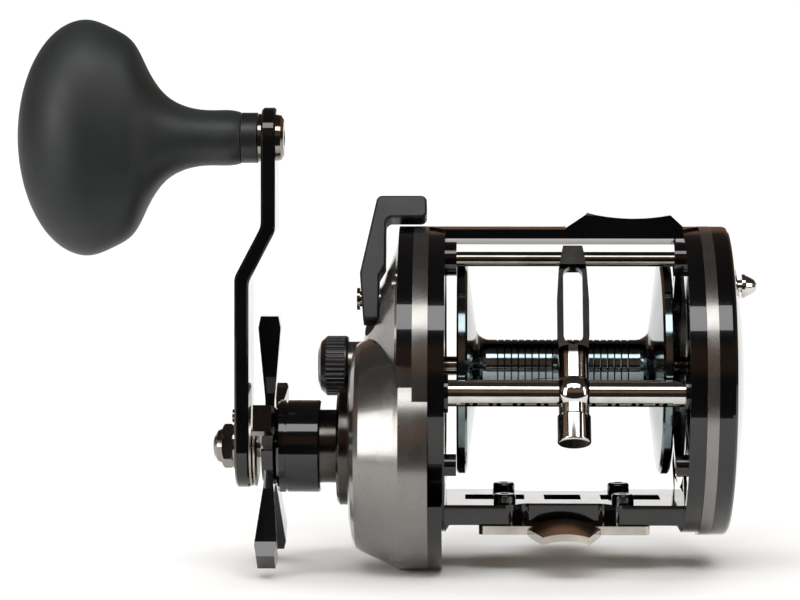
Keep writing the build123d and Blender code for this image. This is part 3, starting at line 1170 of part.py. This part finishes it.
# ---- every part, one file each -----------------------------------------------------------------
DRIVE_BEARING = ball_bearing(CAP_OUTER + 0.8, CAP_INNER, 9.0, DRIVE_RADIUS + RUN_GAP, DRIVE_AXIS)
SPOOL_BORE = SPOOL_SHAFT_RADIUS + RUN_GAP
HANDLE_SEAT = BRIDGE_FACE + BEARING_WIDTH
HANDLE_BEARING = ball_bearing(HANDLE_SEAT, BRIDGE_FACE, BEARING_RADIUS, SPOOL_BORE, SPOOL_AXIS)
LEFT_BEARING = ball_bearing(LEFT_FACE - BEARING_WIDTH, LEFT_FACE, BEARING_RADIUS, SPOOL_BORE, SPOOL_AXIS)

PARTS = {
    "frame": frame(),
    "foot": foot(),
    "foot_screws": foot_screws(),
    "stabiliser_rod": stabiliser_rod(),
    "worm_tube": worm_tube(),
    "worm_shaft": worm_shaft(),
    "worm_bushings": worm_bushings(),
    "worm_gear": worm_gear(),
    "idler_gear": idler_gear(),
    "idler_pin": idler_pin(),
    "levelwind_cog": levelwind_cog(),
    "line_guide": line_guide(),
    "guide_pawl": guide_pawl(),
    "pawl_cap": pawl_cap(),
    "spool": spool(),
    "spool_shaft": spool_shaft(),
    "spool_bearing_handle": HANDLE_BEARING,
    "spool_bearing_left": LEFT_BEARING,
    "click_ratchet": click_ratchet(),
    "click_button": click_button(),
    "click_pawl": click_pawl(),
    "left_side_plate": left_side_plate(),
    "left_side_cover": left_side_cover(),
    "left_cover_screws": plate_screws(1),
    "handle_side_plate": handle_side_plate(),
    "handle_side_trim": handle_side_trim(),
    "handle_plate_screws": plate_screws(-1),
    "gear_case_cover": gear_case_cover(),
    "bridge_plate": bridge_plate(),
    "pinion": pinion(),
    "pinion_yoke": pinion_yoke(),
    "bridge_posts": bridge_posts(),
    "yoke_springs": yoke_springs(),
    "clutch_lever": clutch_lever(),
    "lever_shaft": lever_shaft(),
    "lever_screw": lever_screw(),
    "clutch_cam": clutch_cam(),
    "drive_shaft": drive_shaft(),
    "drive_bearing": DRIVE_BEARING,
    "main_gear": main_gear(),
    "drag_fibre_washers": drag_stack(True),
    "drag_metal_washers": drag_stack(False),
    "anti_reverse_ratchet": anti_reverse_ratchet(),
    "anti_reverse_dog": anti_reverse_dog(),
    "dog_spring": dog_spring(),
    "bearing_cap": bearing_cap(),
    "drag_tube": drag_tube(),
    "drag_sleeve": drag_sleeve(),
    "star_wheel": star_wheel(),
    "spring_washers": spring_washers(),
    "handle_arm": handle_arm(),
    "nut_washer": nut_washer(),
    "handle_nut": handle_nut(),
    "lock_screw": lock_screw(),
    "knob_spindle": knob_spindle(),
    "knob_washer": knob_washer(),
    "knob_cap": knob_cap(),
    "handle_knob": handle_knob(),
    "tension_knob": tension_knob(),
    "tension_disc": tension_disc(),
}

os.makedirs("parts", exist_ok=True)
for name, shape in PARTS.items():
    pieces = shape if isinstance(shape, list) else [shape]
    solids = [solid for piece in pieces for solid in piece.solids()]
    export_step(Compound(children=solids), f"parts/{name}.step")
print(len(PARTS), "parts written")
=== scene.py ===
# %% [markdown]
# # A levelwind trolling reel, finished in Blender
# The reel is an anodised aluminium frame with a spool between two rings, a gear housing on the
# handle side and a long crank with a T-shaped knob.  All its metal pieces come from the CAD frame,
# so this lesson is about what the eye reads next: what each piece is made of and how its surface
# was finished.  We load the frame first and note its size, because nothing here may change it.

# %% Load the frame
import json
from math import cos, pi, radians, sin

import bmesh
import bpy
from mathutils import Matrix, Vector


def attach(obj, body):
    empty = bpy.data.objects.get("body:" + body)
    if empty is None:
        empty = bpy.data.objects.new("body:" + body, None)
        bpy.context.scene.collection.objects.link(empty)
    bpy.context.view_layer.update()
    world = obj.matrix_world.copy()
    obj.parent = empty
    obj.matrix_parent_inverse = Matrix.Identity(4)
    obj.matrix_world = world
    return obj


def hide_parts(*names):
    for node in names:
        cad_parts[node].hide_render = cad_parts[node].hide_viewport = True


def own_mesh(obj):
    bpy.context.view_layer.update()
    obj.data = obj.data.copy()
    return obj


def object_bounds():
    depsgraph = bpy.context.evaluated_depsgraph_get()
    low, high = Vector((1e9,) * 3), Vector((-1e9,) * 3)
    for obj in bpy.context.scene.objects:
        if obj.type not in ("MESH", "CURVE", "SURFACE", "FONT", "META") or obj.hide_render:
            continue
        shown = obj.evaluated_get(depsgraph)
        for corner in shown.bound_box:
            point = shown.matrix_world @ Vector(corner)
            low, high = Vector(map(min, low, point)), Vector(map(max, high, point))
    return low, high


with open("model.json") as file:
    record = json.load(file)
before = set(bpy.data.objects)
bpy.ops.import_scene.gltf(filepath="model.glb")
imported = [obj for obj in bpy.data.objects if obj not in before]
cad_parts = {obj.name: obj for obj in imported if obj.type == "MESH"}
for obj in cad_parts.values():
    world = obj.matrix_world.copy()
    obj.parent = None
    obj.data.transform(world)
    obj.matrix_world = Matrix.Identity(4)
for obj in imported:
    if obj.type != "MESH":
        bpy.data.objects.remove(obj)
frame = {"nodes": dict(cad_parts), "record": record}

cad_box = [list(corner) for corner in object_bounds()]
MM = 0.001
reel_low, reel_high = Vector(cad_box[0]), Vector(cad_box[1])
print("reel spans", [round(v / MM, 1) for v in reel_high - reel_low], "mm")

# %% [markdown]
# ## Colours and nodes
# Paint makers give colours as sRGB hex values, but the shader works in linear light.  One function
# does that change, so that every colour below can be read and compared as a hex value.  A second
# small function adds any node with its settings and its links, which keeps each finish short.

# %% Helpers for colours and nodes
def linear(hex_colour):
    """An sRGB hex colour as a linear RGBA tuple."""
    channels = [int(hex_colour[i:i + 2], 16) / 255 for i in (1, 3, 5)]
    light = [c / 12.92 if c <= 0.04045 else ((c + 0.055) / 1.055) ** 2.4 for c in channels]
    return (*light, 1.0)


def add_node(tree, kind, settings=None, **inputs):
    """Adds a node; a value or another node's output socket goes to each named input."""
    node = tree.nodes.new(kind)
    for key, value in (settings or {}).items():
        setattr(node, key, value)
    for key, value in inputs.items():
        slot = int(key[1:]) if key[1:].isdigit() else key.replace("_", " ")
        socket = node.inputs[slot]
        if isinstance(value, bpy.types.NodeSocket):
            tree.links.new(value, socket)
        else:
            socket.default_value = value
    return node


def new_finish(name):
    """An empty material with its shader, its output and the piece's own coordinates in metres."""
    material = bpy.data.materials.new(name)
    material.use_nodes = True
    tree = material.node_tree
    tree.nodes.clear()
    shader = tree.nodes.new("ShaderNodeBsdfPrincipled")
    output = tree.nodes.new("ShaderNodeOutputMaterial")
    tree.links.new(shader.outputs[0], output.inputs[0])
    place = tree.nodes.new("ShaderNodeTexCoord").outputs["Object"]
    return material, tree, shader, place


print("sRGB mid grey is linear", round(linear("#808080")[0], 3))

# %% [markdown]
# ## What every machined or moulded surface shares
# No real surface has one colour and one gloss.  Handling leaves soft cloudy differences some
# millimetres wide, tooling leaves fine texture under half a millimetre, and edges and corners
# are rubbed.  A finish here has all three scales, and the clouds come first.  Cloud and grain
# sizes are given in millimetres and turned to the noise's scale, which counts per metre.

# %% Clouds and two tones
def per_metre(size_mm):
    """The noise scale whose features are about size_mm across."""
    return 1.0 / (size_mm * MM)


def clouded(tree, place, size_mm, low, high, detail=3.0):
    """A soft cloudy value from low to high, with features of size_mm."""
    noise = add_node(tree, "ShaderNodeTexNoise", Vector=place, Scale=per_metre(size_mm),
                     Detail=detail, Roughness=0.55)
    spread = add_node(tree, "ShaderNodeMapRange", Value=noise.outputs["Fac"],
                      From_Min=0.3, From_Max=0.7, To_Min=low, To_Max=high)
    return spread.outputs["Result"]


def two_tone(tree, mask, dark, pale):
    """A colour between two hex colours, chosen by a mask."""
    mix = add_node(tree, "ShaderNodeMix", {"data_type": "RGBA"}, _0=mask)
    mix.inputs[6].default_value = linear(dark)
    mix.inputs[7].default_value = linear(pale)
    return mix.outputs[2]


print("a 9 mm cloud has scale", round(per_metre(9.0)))

# %% [markdown]
# ## Rubbed and broken edges
# A sharp edge on a real piece is broken by a file or a tumbler and then rubbed by hands, which
# the eye reads as a thin paler line.  The pieces come from CAD with few points on their flat
# faces, so a mask read from the mesh's points would spread over whole faces; the Bevel node looks
# at the surface around each spot instead.  The same rounded normal breaks the edge in the bump.

# %% Edges and bump
EDGE_MM = 0.16                   # how far from an edge the finish is rubbed and rounded
BEVEL_SAMPLES = 4
AWAY_FROM_EDGE, AT_EDGE = 0.95, 0.80     # how far the rounded normal still agrees with the flat one


def rounded_normal(tree):
    """The surface's normal, rounded within EDGE_MM of a sharp edge."""
    bevel = add_node(tree, "ShaderNodeBevel", {"samples": BEVEL_SAMPLES}, Radius=EDGE_MM * MM)
    return bevel.outputs["Normal"]


def edge_wear(tree, amount):
    """A mask that is bright near a sharp edge, where the rounded normal leaves the flat one."""
    flat = add_node(tree, "ShaderNodeNewGeometry").outputs["Normal"]
    along = add_node(tree, "ShaderNodeVectorMath", {"operation": "DOT_PRODUCT"},
                     _0=rounded_normal(tree), _1=flat)
    ramp = add_node(tree, "ShaderNodeMapRange", Value=along.outputs["Value"],
                    From_Min=AWAY_FROM_EDGE, From_Max=AT_EDGE, To_Min=0.0, To_Max=amount)
    return ramp.outputs["Result"]


def rubbed(tree, base, mask, worn):
    """The base colour with a worn colour where the mask is bright."""
    mix = add_node(tree, "ShaderNodeMix", {"data_type": "RGBA"}, _0=mask)
    tree.links.new(base, mix.inputs[6])
    mix.inputs[7].default_value = linear(worn)
    return mix.outputs[2]


def bumped(tree, shader, height, depth_mm, strength, broken_edges=False):
    """Gives the shader a bump of depth_mm from a height value; its edges may be just broken."""
    bump = add_node(tree, "ShaderNodeBump", Height=height, Strength=strength,
                    Distance=depth_mm * MM)
    if broken_edges:
        tree.links.new(rounded_normal(tree), bump.inputs["Normal"])
    tree.links.new(bump.outputs["Normal"], shader.inputs["Normal"])


print("edges are rubbed over", EDGE_MM, "mm")

# %% [markdown]
# ## One recipe for plain finishes
# Most of the reel's finishes differ only in tone, gloss and the sizes of their clouds and grain,
# so one function makes them all.  A tooled finish gets its grain stretched along one axis, which
# turns round spots into faint polishing marks.

# %% The shared recipe
def finish(name, dark, pale, rough, metallic=0.0, cloud_mm=9.0, grain_mm=0.4,
           grain_depth=0.01, wear=0.0, worn="#b8b6b0", coat=0.0, coat_rough=0.05, ior=None,
           specular=0.5, stretch=None):
    """A finish from its two tones, its roughness range and the sizes of its clouds and grain."""
    material, tree, shader, place = new_finish(name)
    colour = two_tone(tree, clouded(tree, place, cloud_mm, 0.0, 1.0), dark, pale)
    if wear:
        colour = rubbed(tree, colour, edge_wear(tree, wear), worn)
    tree.links.new(colour, shader.inputs["Base Color"])
    gloss = clouded(tree, place, cloud_mm * 0.6, rough[0], rough[1], 5.0)
    tree.links.new(gloss, shader.inputs["Roughness"])
    grain_place = place
    if stretch:
        mapping = add_node(tree, "ShaderNodeMapping", Vector=place, Scale=stretch)
        grain_place = mapping.outputs["Vector"]
    grain = add_node(tree, "ShaderNodeTexNoise", Vector=grain_place, Scale=per_metre(grain_mm),
                     Detail=4.0, Roughness=0.6)
    bumped(tree, shader, grain.outputs["Fac"], grain_depth, 0.6, broken_edges=wear > 0)
    shader.inputs["Metallic"].default_value = metallic
    shader.inputs["Coat Weight"].default_value = coat
    shader.inputs["Coat Roughness"].default_value = coat_rough
    shader.inputs["Specular IOR Level"].default_value = specular
    if ior:
        shader.inputs["IOR"].default_value = ior
    return material


print("a plain finish has", len(finish.__defaults__), "settings that may be left as they are")

# %% [markdown]
# ## Black anodised aluminium, polished before dyeing
# The frame, the crank, the star and the left cover are aluminium, buffed bright, anodised, dyed
# black and sealed.  The clear oxide layer on top gives sharp reflections with a dark body under
# them, so a near-black base with a hard clear coat reads better than a dark metal.  Corners lose
# a little dye, which shows as a thin grey line.

# %% Black finishes
black_anodised = finish("black_anodised", "#050506", "#0a0a0b", (0.10, 0.20), cloud_mm=14,
                        grain_mm=0.5, grain_depth=0.002, wear=0.3, worn="#303034",
                        coat=1.0, coat_rough=0.03, ior=1.45, specular=0.15)
satin_black = finish("satin_black_anodised", "#131314", "#1d1d1e", (0.34, 0.46), cloud_mm=7,
                     grain_mm=0.25, grain_depth=0.012, wear=0.5, worn="#4a4a4c", ior=1.5)
knurled_black = finish("knurled_black", "#0b0b0c", "#161617", (0.26, 0.38), cloud_mm=5,
                       grain_mm=0.3, grain_depth=0.01, wear=0.6, worn="#56565a",
                       coat=0.3, coat_rough=0.2, ior=1.5)
nylon_black = finish("glass_filled_nylon", "#161616", "#202020", (0.45, 0.6), cloud_mm=6,
                     grain_mm=0.3, grain_depth=0.03, ior=1.53)
print("black finishes", [m.name for m in (black_anodised, satin_black, knurled_black, nylon_black)])

# %% [markdown]
# ## Gunmetal lacquer with metal flake
# The side plate, the gear housing and the bands are sprayed with a grey lacquer that holds fine
# aluminium flake, under a clear coat.  The flake is a few hundredths of a millimetre, too fine to
# show, so it is drawn at an eighth of a millimetre and faintly: each Voronoi cell is one flake
# with its own brightness.  The metal under the coat gives broad soft reflections, the coat sharp
# ones.

# %% Gunmetal
def flake_lacquer(name, dark, pale, rough, flake_mm, flake_gain):
    """Metallic lacquer: clouds, flakes of their own brightness, and a clear coat."""
    material, tree, shader, place = new_finish(name)
    base = two_tone(tree, clouded(tree, place, 16.0, 0.0, 1.0), dark, pale)
    cells = add_node(tree, "ShaderNodeTexVoronoi", Vector=place, Scale=per_metre(flake_mm))
    spark = add_node(tree, "ShaderNodeSeparateColor", Color=cells.outputs["Color"])
    lift = add_node(tree, "ShaderNodeMapRange", Value=spark.outputs["Red"],
                    From_Min=0.4, From_Max=1.0, To_Min=0.0, To_Max=flake_gain)
    colour = rubbed(tree, base, lift.outputs["Result"], "#a8a49c")
    tree.links.new(colour, shader.inputs["Base Color"])
    gloss = clouded(tree, place, 10.0, rough[0], rough[1], 4.0)
    tree.links.new(gloss, shader.inputs["Roughness"])
    bumped(tree, shader, spark.outputs["Green"], 0.0008, 0.25)
    shader.inputs["Metallic"].default_value = 0.92
    shader.inputs["Coat Weight"].default_value = 0.6
    shader.inputs["Coat Roughness"].default_value = 0.08
    return material


gunmetal = flake_lacquer("gunmetal_flake_lacquer", "#777673", "#868581", (0.22, 0.30),
                         flake_mm=0.125, flake_gain=0.10)
gunmetal_turned = finish("gunmetal_turned", "#3b3a38", "#56534e", (0.14, 0.24), metallic=1.0,
                         cloud_mm=8, grain_mm=0.3, grain_depth=0.004, wear=0.6, worn="#9c9a94",
                         stretch=(1.0, 0.05, 0.05))
print("gunmetal finishes", gunmetal.name, gunmetal_turned.name)

# %% [markdown]
# ## Polished and plated steel
# The stabiliser rod, the worm's tube and the nut are polished steel or chrome plate; the line
# guide has dark chrome, and the spool is polished aluminium with a smoky clear anodising that
# leans towards teal.  Metals keep the shader's default IOR.  What separates them is colour and
# roughness, so each has its own; the steels and the spool have long faint polishing marks along their
# axis.

# %% Bright metals
PLATE_DARK, PLATE_PALE = "#b9b8b4", "#d6d5d0"    # bright chrome's two tones
bright_chrome = finish("bright_chrome", PLATE_DARK, PLATE_PALE, (0.05, 0.10), metallic=1.0,
                       cloud_mm=6, grain_mm=0.5, grain_depth=0.0015)
polished_steel = finish("polished_stainless", "#7d7a74", "#97938b", (0.09, 0.15), metallic=1.0,
                        cloud_mm=7, grain_mm=0.25, grain_depth=0.003, stretch=(0.06, 1.0, 1.0))
dark_chrome = finish("dark_chrome", "#3a3938", "#575452", (0.07, 0.14), metallic=1.0,
                     cloud_mm=6, grain_mm=0.4, grain_depth=0.002, wear=0.5, worn="#a09e9a")
spool_metal = finish("smoked_anodised_aluminium", "#5f6b6e", "#838f91", (0.07, 0.13),
                     metallic=1.0, cloud_mm=12, grain_mm=0.3, grain_depth=0.002,
                     stretch=(1.0, 0.08, 0.08))
satin_steel = finish("brushed_stainless", "#a39e94", "#c3beb3", (0.24, 0.38), metallic=1.0,
                     cloud_mm=6, grain_mm=0.2, grain_depth=0.006, wear=0.3, worn="#dedbd4",
                     stretch=(0.04, 1.0, 1.0))
brass = finish("machined_brass", "#a5813c", "#c49c52", (0.2, 0.32), metallic=1.0,
               cloud_mm=5, grain_mm=0.2, grain_depth=0.006)
bronze = finish("gear_bronze", "#8a5c36", "#a87446", (0.24, 0.36), metallic=1.0,
                cloud_mm=5, grain_mm=0.2, grain_depth=0.006)
white_nylon = finish("natural_nylon", "#cfc9ba", "#ddd8cc", (0.4, 0.52),
                     cloud_mm=6, grain_mm=0.3, grain_depth=0.01, ior=1.53)
carbon_fibre = finish("carbon_drag_washer", "#161514", "#2b2a28", (0.5, 0.66),
                      cloud_mm=1.2, grain_mm=0.3, grain_depth=0.03, ior=1.5)
pressed_steel = finish("pressed_stainless", "#a8a49b", "#c6c1b6", (0.14, 0.22), metallic=1.0,
                       cloud_mm=9, grain_mm=0.3, grain_depth=0.004, stretch=(0.06, 1.0, 1.0))
metals = (bright_chrome, polished_steel, dark_chrome, spool_metal, satin_steel, brass, bronze,
          pressed_steel)
print(len(metals), "metals and", white_nylon.name, "and", carbon_fibre.name)

# %% [markdown]
# ## The line guide, plated in two shades
# The guide is one casting: the long loop that the line runs through is plated in a hard dark
# chrome, and the body that slides on the worm's tube is bright.  One material holds both and
# changes over a millimetre of height, just under the loop, in the piece's own coordinates, so
# the change stays in place when the guide slides.

# %% Two-shade plating
GUIDE_CHANGE = (47.6, 48.6)      # mm above the foot's seat, where bright turns to dark


def two_shade_chrome(name):
    """Dark chrome above the change of height, bright chrome below it."""
    material, tree, shader, place = new_finish(name)
    up = add_node(tree, "ShaderNodeSeparateXYZ", Vector=place).outputs["Z"]
    mask = add_node(tree, "ShaderNodeMapRange", Value=up, From_Min=GUIDE_CHANGE[0] * MM,
                    From_Max=GUIDE_CHANGE[1] * MM, To_Min=0.0, To_Max=1.0)
    cloud = clouded(tree, place, 6.0, 0.0, 1.0)
    mix = add_node(tree, "ShaderNodeMix", {"data_type": "RGBA"}, _0=mask.outputs["Result"])
    tree.links.new(two_tone(tree, cloud, PLATE_DARK, PLATE_PALE), mix.inputs[6])
    tree.links.new(two_tone(tree, cloud, "#100f0f", "#1b1a19"), mix.inputs[7])
    tree.links.new(mix.outputs[2], shader.inputs["Base Color"])
    tree.links.new(clouded(tree, place, 4.0, 0.07, 0.13, 5.0), shader.inputs["Roughness"])
    grain = add_node(tree, "ShaderNodeTexNoise", Vector=place, Scale=per_metre(0.4),
                     Detail=4.0, Roughness=0.6)
    bumped(tree, shader, grain.outputs["Fac"], 0.002, 0.5)
    shader.inputs["Metallic"].default_value = 1.0
    return material


guide_chrome = two_shade_chrome("two_shade_chrome")
print("the plating changes at", GUIDE_CHANGE, "mm")

# %% [markdown]
# ## The knob's soft-touch coating
# The knob is moulded in firm plastic and sprayed with a soft polyurethane coating.  It looks
# matte charcoal with a very slight teal cast, it holds a fine speckle of about a third of a
# millimetre, and it pales at grazing angles, which the sheen does.  The palm polishes the crown a
# little, so the roughness has wide clouds.

# %% Soft-touch coating
SPECKLE_MM = 0.35


def soft_touch(name):
    """Matte charcoal coating with a fine speckle and a faint sheen."""
    material, tree, shader, place = new_finish(name)
    base = two_tone(tree, clouded(tree, place, 22.0, 0.0, 1.0), "#151819", "#1d2122")
    speckle = add_node(tree, "ShaderNodeTexNoise", Vector=place, Scale=per_metre(SPECKLE_MM),
                       Detail=2.0, Roughness=0.7)
    dots = add_node(tree, "ShaderNodeMapRange", Value=speckle.outputs["Fac"],
                    From_Min=0.6, From_Max=0.72, To_Min=0.0, To_Max=0.3)
    colour = rubbed(tree, base, dots.outputs["Result"], "#3c4345")
    tree.links.new(colour, shader.inputs["Base Color"])
    tree.links.new(clouded(tree, place, 14.0, 0.46, 0.58), shader.inputs["Roughness"])
    bumped(tree, shader, speckle.outputs["Fac"], 0.03, 0.5)
    shader.inputs["Sheen Weight"].default_value = 0.12
    shader.inputs["Sheen Roughness"].default_value = 0.4
    shader.inputs["Sheen Tint"].default_value = linear("#b9c4c8")
    shader.inputs["IOR"].default_value = 1.49
    return material


soft_grip = soft_touch("soft_touch_coating")
print("coating", soft_grip.name)

# %% [markdown]
# ## Giving every piece its finish
# The record names a finish slot for each piece.  A table from slot to material, with a few pieces
# that differ from their slot, covers all of them, the hidden gears too, because the side plates
# may be taken off in another picture.

# %% Assign the finishes
by_slot = {
    "black_gloss": black_anodised, "gunmetal": gunmetal, "satin_black": satin_black,
    "spool_chrome": spool_metal, "dark_chrome": dark_chrome, "bright_chrome": bright_chrome,
    "stainless": satin_steel, "polished_steel": polished_steel, "brass": brass,
    "bronze": bronze, "soft_grip": soft_grip, "nylon": nylon_black,
    "white_nylon": white_nylon, "fibre": carbon_fibre,
}
by_piece = {
    "tension_knob": knurled_black, "bearing_cap": gunmetal_turned,
    "drag_tube": gunmetal_turned, "line_guide": guide_chrome, "pawl_cap": bright_chrome,
    "foot": pressed_steel,
}
slot_of = {part["node"]: part["material_slot"] for part in frame["record"]["subparts"]}
for node in frame["nodes"]:
    piece = bpy.data.objects[node]
    piece.data.materials.clear()
    piece.data.materials.append(by_piece.get(node, by_slot[slot_of[node]]))
print(len(frame["nodes"]), "pieces have a finish")

# %% [markdown]
# ## The yoke's springs
# Two small springs inside the casing press the pinion's yoke home, and the clutch lever's cam
# pushes the yoke against them.  A CAD spring is rigid, so the yoke would pass into it.  A copy of
# its mesh, tied to the root, stands in its place here and stays rigid.

# %% A copy of the springs
rigid = bpy.data.objects["yoke_springs"]
yoke_coils = bpy.data.objects.new("yoke_coils", rigid.data.copy())
bpy.context.collection.objects.link(yoke_coils)
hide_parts("yoke_springs")
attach(yoke_coils, "root")
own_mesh(yoke_coils)

# %% [markdown]
# ## Floor and backdrop
# The reel stands over a plain pale paper that curves up behind it, as in a studio's cove.
# The paper ends a hand's breadth in front of the reel, below what the front view shows, because
# a white floor further out would be mirrored in every upright black face.  Its curve stops a
# little past half way, since the white background takes over above it.

# %% Floor
FLOOR_GAP = 0.1 * MM
FLOOR_REACH = 1.6         # metres to each side
FLOOR_FRONT = 0.14        # metres ahead; upright faces mirror the dark room beyond
FLOOR_BACK = 0.6          # metres behind, where the curve starts
SWEEP_RADIUS = 0.5        # metres
SWEEP_STEP = pi / 32      # radians, a sixteenth of the quarter turn to upright
SWEEP_COUNT = 10          # steps of the curve
floor_z = reel_low.z - FLOOR_GAP
profile = [(-FLOOR_FRONT, 0.0), (FLOOR_BACK, 0.0)]
for k in range(1, SWEEP_COUNT + 1):
    turn = k * SWEEP_STEP
    profile.append((FLOOR_BACK + SWEEP_RADIUS * sin(turn), SWEEP_RADIUS * (1 - cos(turn))))
sweep = bmesh.new()
rows = [[sweep.verts.new((side * FLOOR_REACH, y, floor_z + z)) for side in (-1, 1)]
        for y, z in profile]
for near, far in zip(rows, rows[1:]):
    sweep.faces.new((near[0], near[1], far[1], far[0]))
sweep_mesh = bpy.data.meshes.new("studio_sweep")
sweep.to_mesh(sweep_mesh)
studio_sweep = bpy.data.objects.new("studio_sweep", sweep_mesh)
bpy.context.collection.objects.link(studio_sweep)
sweep_mesh.materials.append(finish("pale_paper", "#f2f2f1", "#f7f7f6", (0.75, 0.85),
                                   cloud_mm=60, grain_mm=2, grain_depth=0.02, specular=0.2))
for face in sweep_mesh.polygons:
    face.use_smooth = True
print("floor at", round(floor_z / MM, 2), "mm")

# %% [markdown]
# ## Soft boxes
# Dark gloss shows mostly reflections, so the boxes that it mirrors draw its shape: a long one
# high in front puts the bright band on the gear housing's shoulder, and one to each side puts
# pale streaks on the rims.  The two large boxes overhead only brighten the paper and the matte
# pieces; gloss doesn't mirror them, as if black cards hid them from it.

# %% Lights
def soft_box(name, place, aim, width, height, power, mirrored=True):
    """A rectangular area light at place, turned to aim; gloss may mirror it or not."""
    light = bpy.data.lights.new(name, "AREA")
    light.shape = "RECTANGLE"
    light.size, light.size_y, light.energy = width, height, power
    lamp = bpy.data.objects.new(name, light)
    lamp.location = place
    lamp.rotation_euler = (Vector(aim) - Vector(place)).to_track_quat("-Z", "Y").to_euler()
    lamp.visible_glossy = mirrored
    bpy.context.collection.objects.link(lamp)


REEL_MIDDLE = (-0.03, 0.0, 0.05)
soft_box("box_sweep", (0.0, 0.75, 1.15), (0.0, 0.45, 0.0), 2.4, 1.1, 19.0, mirrored=False)
soft_box("box_front", (-0.05, -0.55, 0.72), REEL_MIDDLE, 1.1, 0.30, 5.2)
soft_box("box_left", (-0.62, -0.50, 0.22), REEL_MIDDLE, 0.22, 0.5, 2.4)
soft_box("box_right", (0.75, -0.40, 0.25), REEL_MIDDLE, 0.14, 0.5, 1.2)
soft_box("box_table", (0.0, -0.25, 1.3), (0.0, -0.25, 0.0), 1.6, 0.5, 5.5, mirrored=False)

# %% [markdown]
# ## The room that the gloss mirrors
# A studio keeps the room dark around a glossy thing, because a white room would wash every
# black face out.  The world here does the same: it is near black at the horizon, warm brown a
# little higher, where a wooden ceiling would be, and dark above.  Only rays that come straight from the
# camera see it white, so the background stays plain in every view.

# %% World
ROOM_LOW, ROOM_WARM, ROOM_HIGH = "#2a2725", "#7d5f4b", "#3a3531"
CEILING_START = (6, 14)       # degrees above the horizon where the warm band comes in
CEILING_END = (26, 36)        # and where it goes out


def band_edge(tree, up, degrees):
    """A smooth step from 0 to 1 between two heights above the horizon."""
    step = add_node(tree, "ShaderNodeMapRange", {"interpolation_type": "SMOOTHSTEP"}, Value=up,
                    From_Min=sin(radians(degrees[0])), From_Max=sin(radians(degrees[1])))
    return step.outputs["Result"]


world = bpy.data.worlds.new("studio_air")
world.use_nodes = True
air = world.node_tree
direction = add_node(air, "ShaderNodeTexCoord").outputs["Generated"]
height = add_node(air, "ShaderNodeSeparateXYZ", Vector=direction).outputs["Z"]
warm = band_edge(air, height, CEILING_START)
above = band_edge(air, height, CEILING_END)
room = rubbed(air, two_tone(air, warm, ROOM_LOW, ROOM_WARM), above, ROOM_HIGH)
seen = add_node(air, "ShaderNodeLightPath").outputs["Is Camera Ray"]
air.links.new(rubbed(air, room, seen, "#ffffff"), air.nodes["Background"].inputs["Color"])
bpy.context.scene.world = world
bpy.context.scene.view_settings.view_transform = "Standard"
print("room from", ROOM_LOW, "to", ROOM_WARM, "to", ROOM_HIGH)

# %% [markdown]
# ## Camera
# A product is shown from some way off through a long lens, so that its depth doesn't swell what
# is near.  The camera stands three quarters of a metre in front and a little above.

# %% Camera
CAMERA_LENS = 132.5            # mm, on a 36 mm wide sensor
camera_place = Vector((-23.1, -773.0, 106.6)) * MM
camera_aim = Vector((-42.8, 0.0, 59.4)) * MM
camera_data = bpy.data.cameras.new("camera")
camera_data.lens = CAMERA_LENS
camera_data.clip_start = 0.05
camera = bpy.data.objects.new("camera", camera_data)
camera.location = camera_place
camera.rotation_euler = (camera_aim - camera_place).to_track_quat("-Z", "Y").to_euler()
bpy.context.collection.objects.link(camera)
bpy.context.scene.camera = camera
print("camera stands", round((camera_aim - camera_place).length / MM), "mm away")
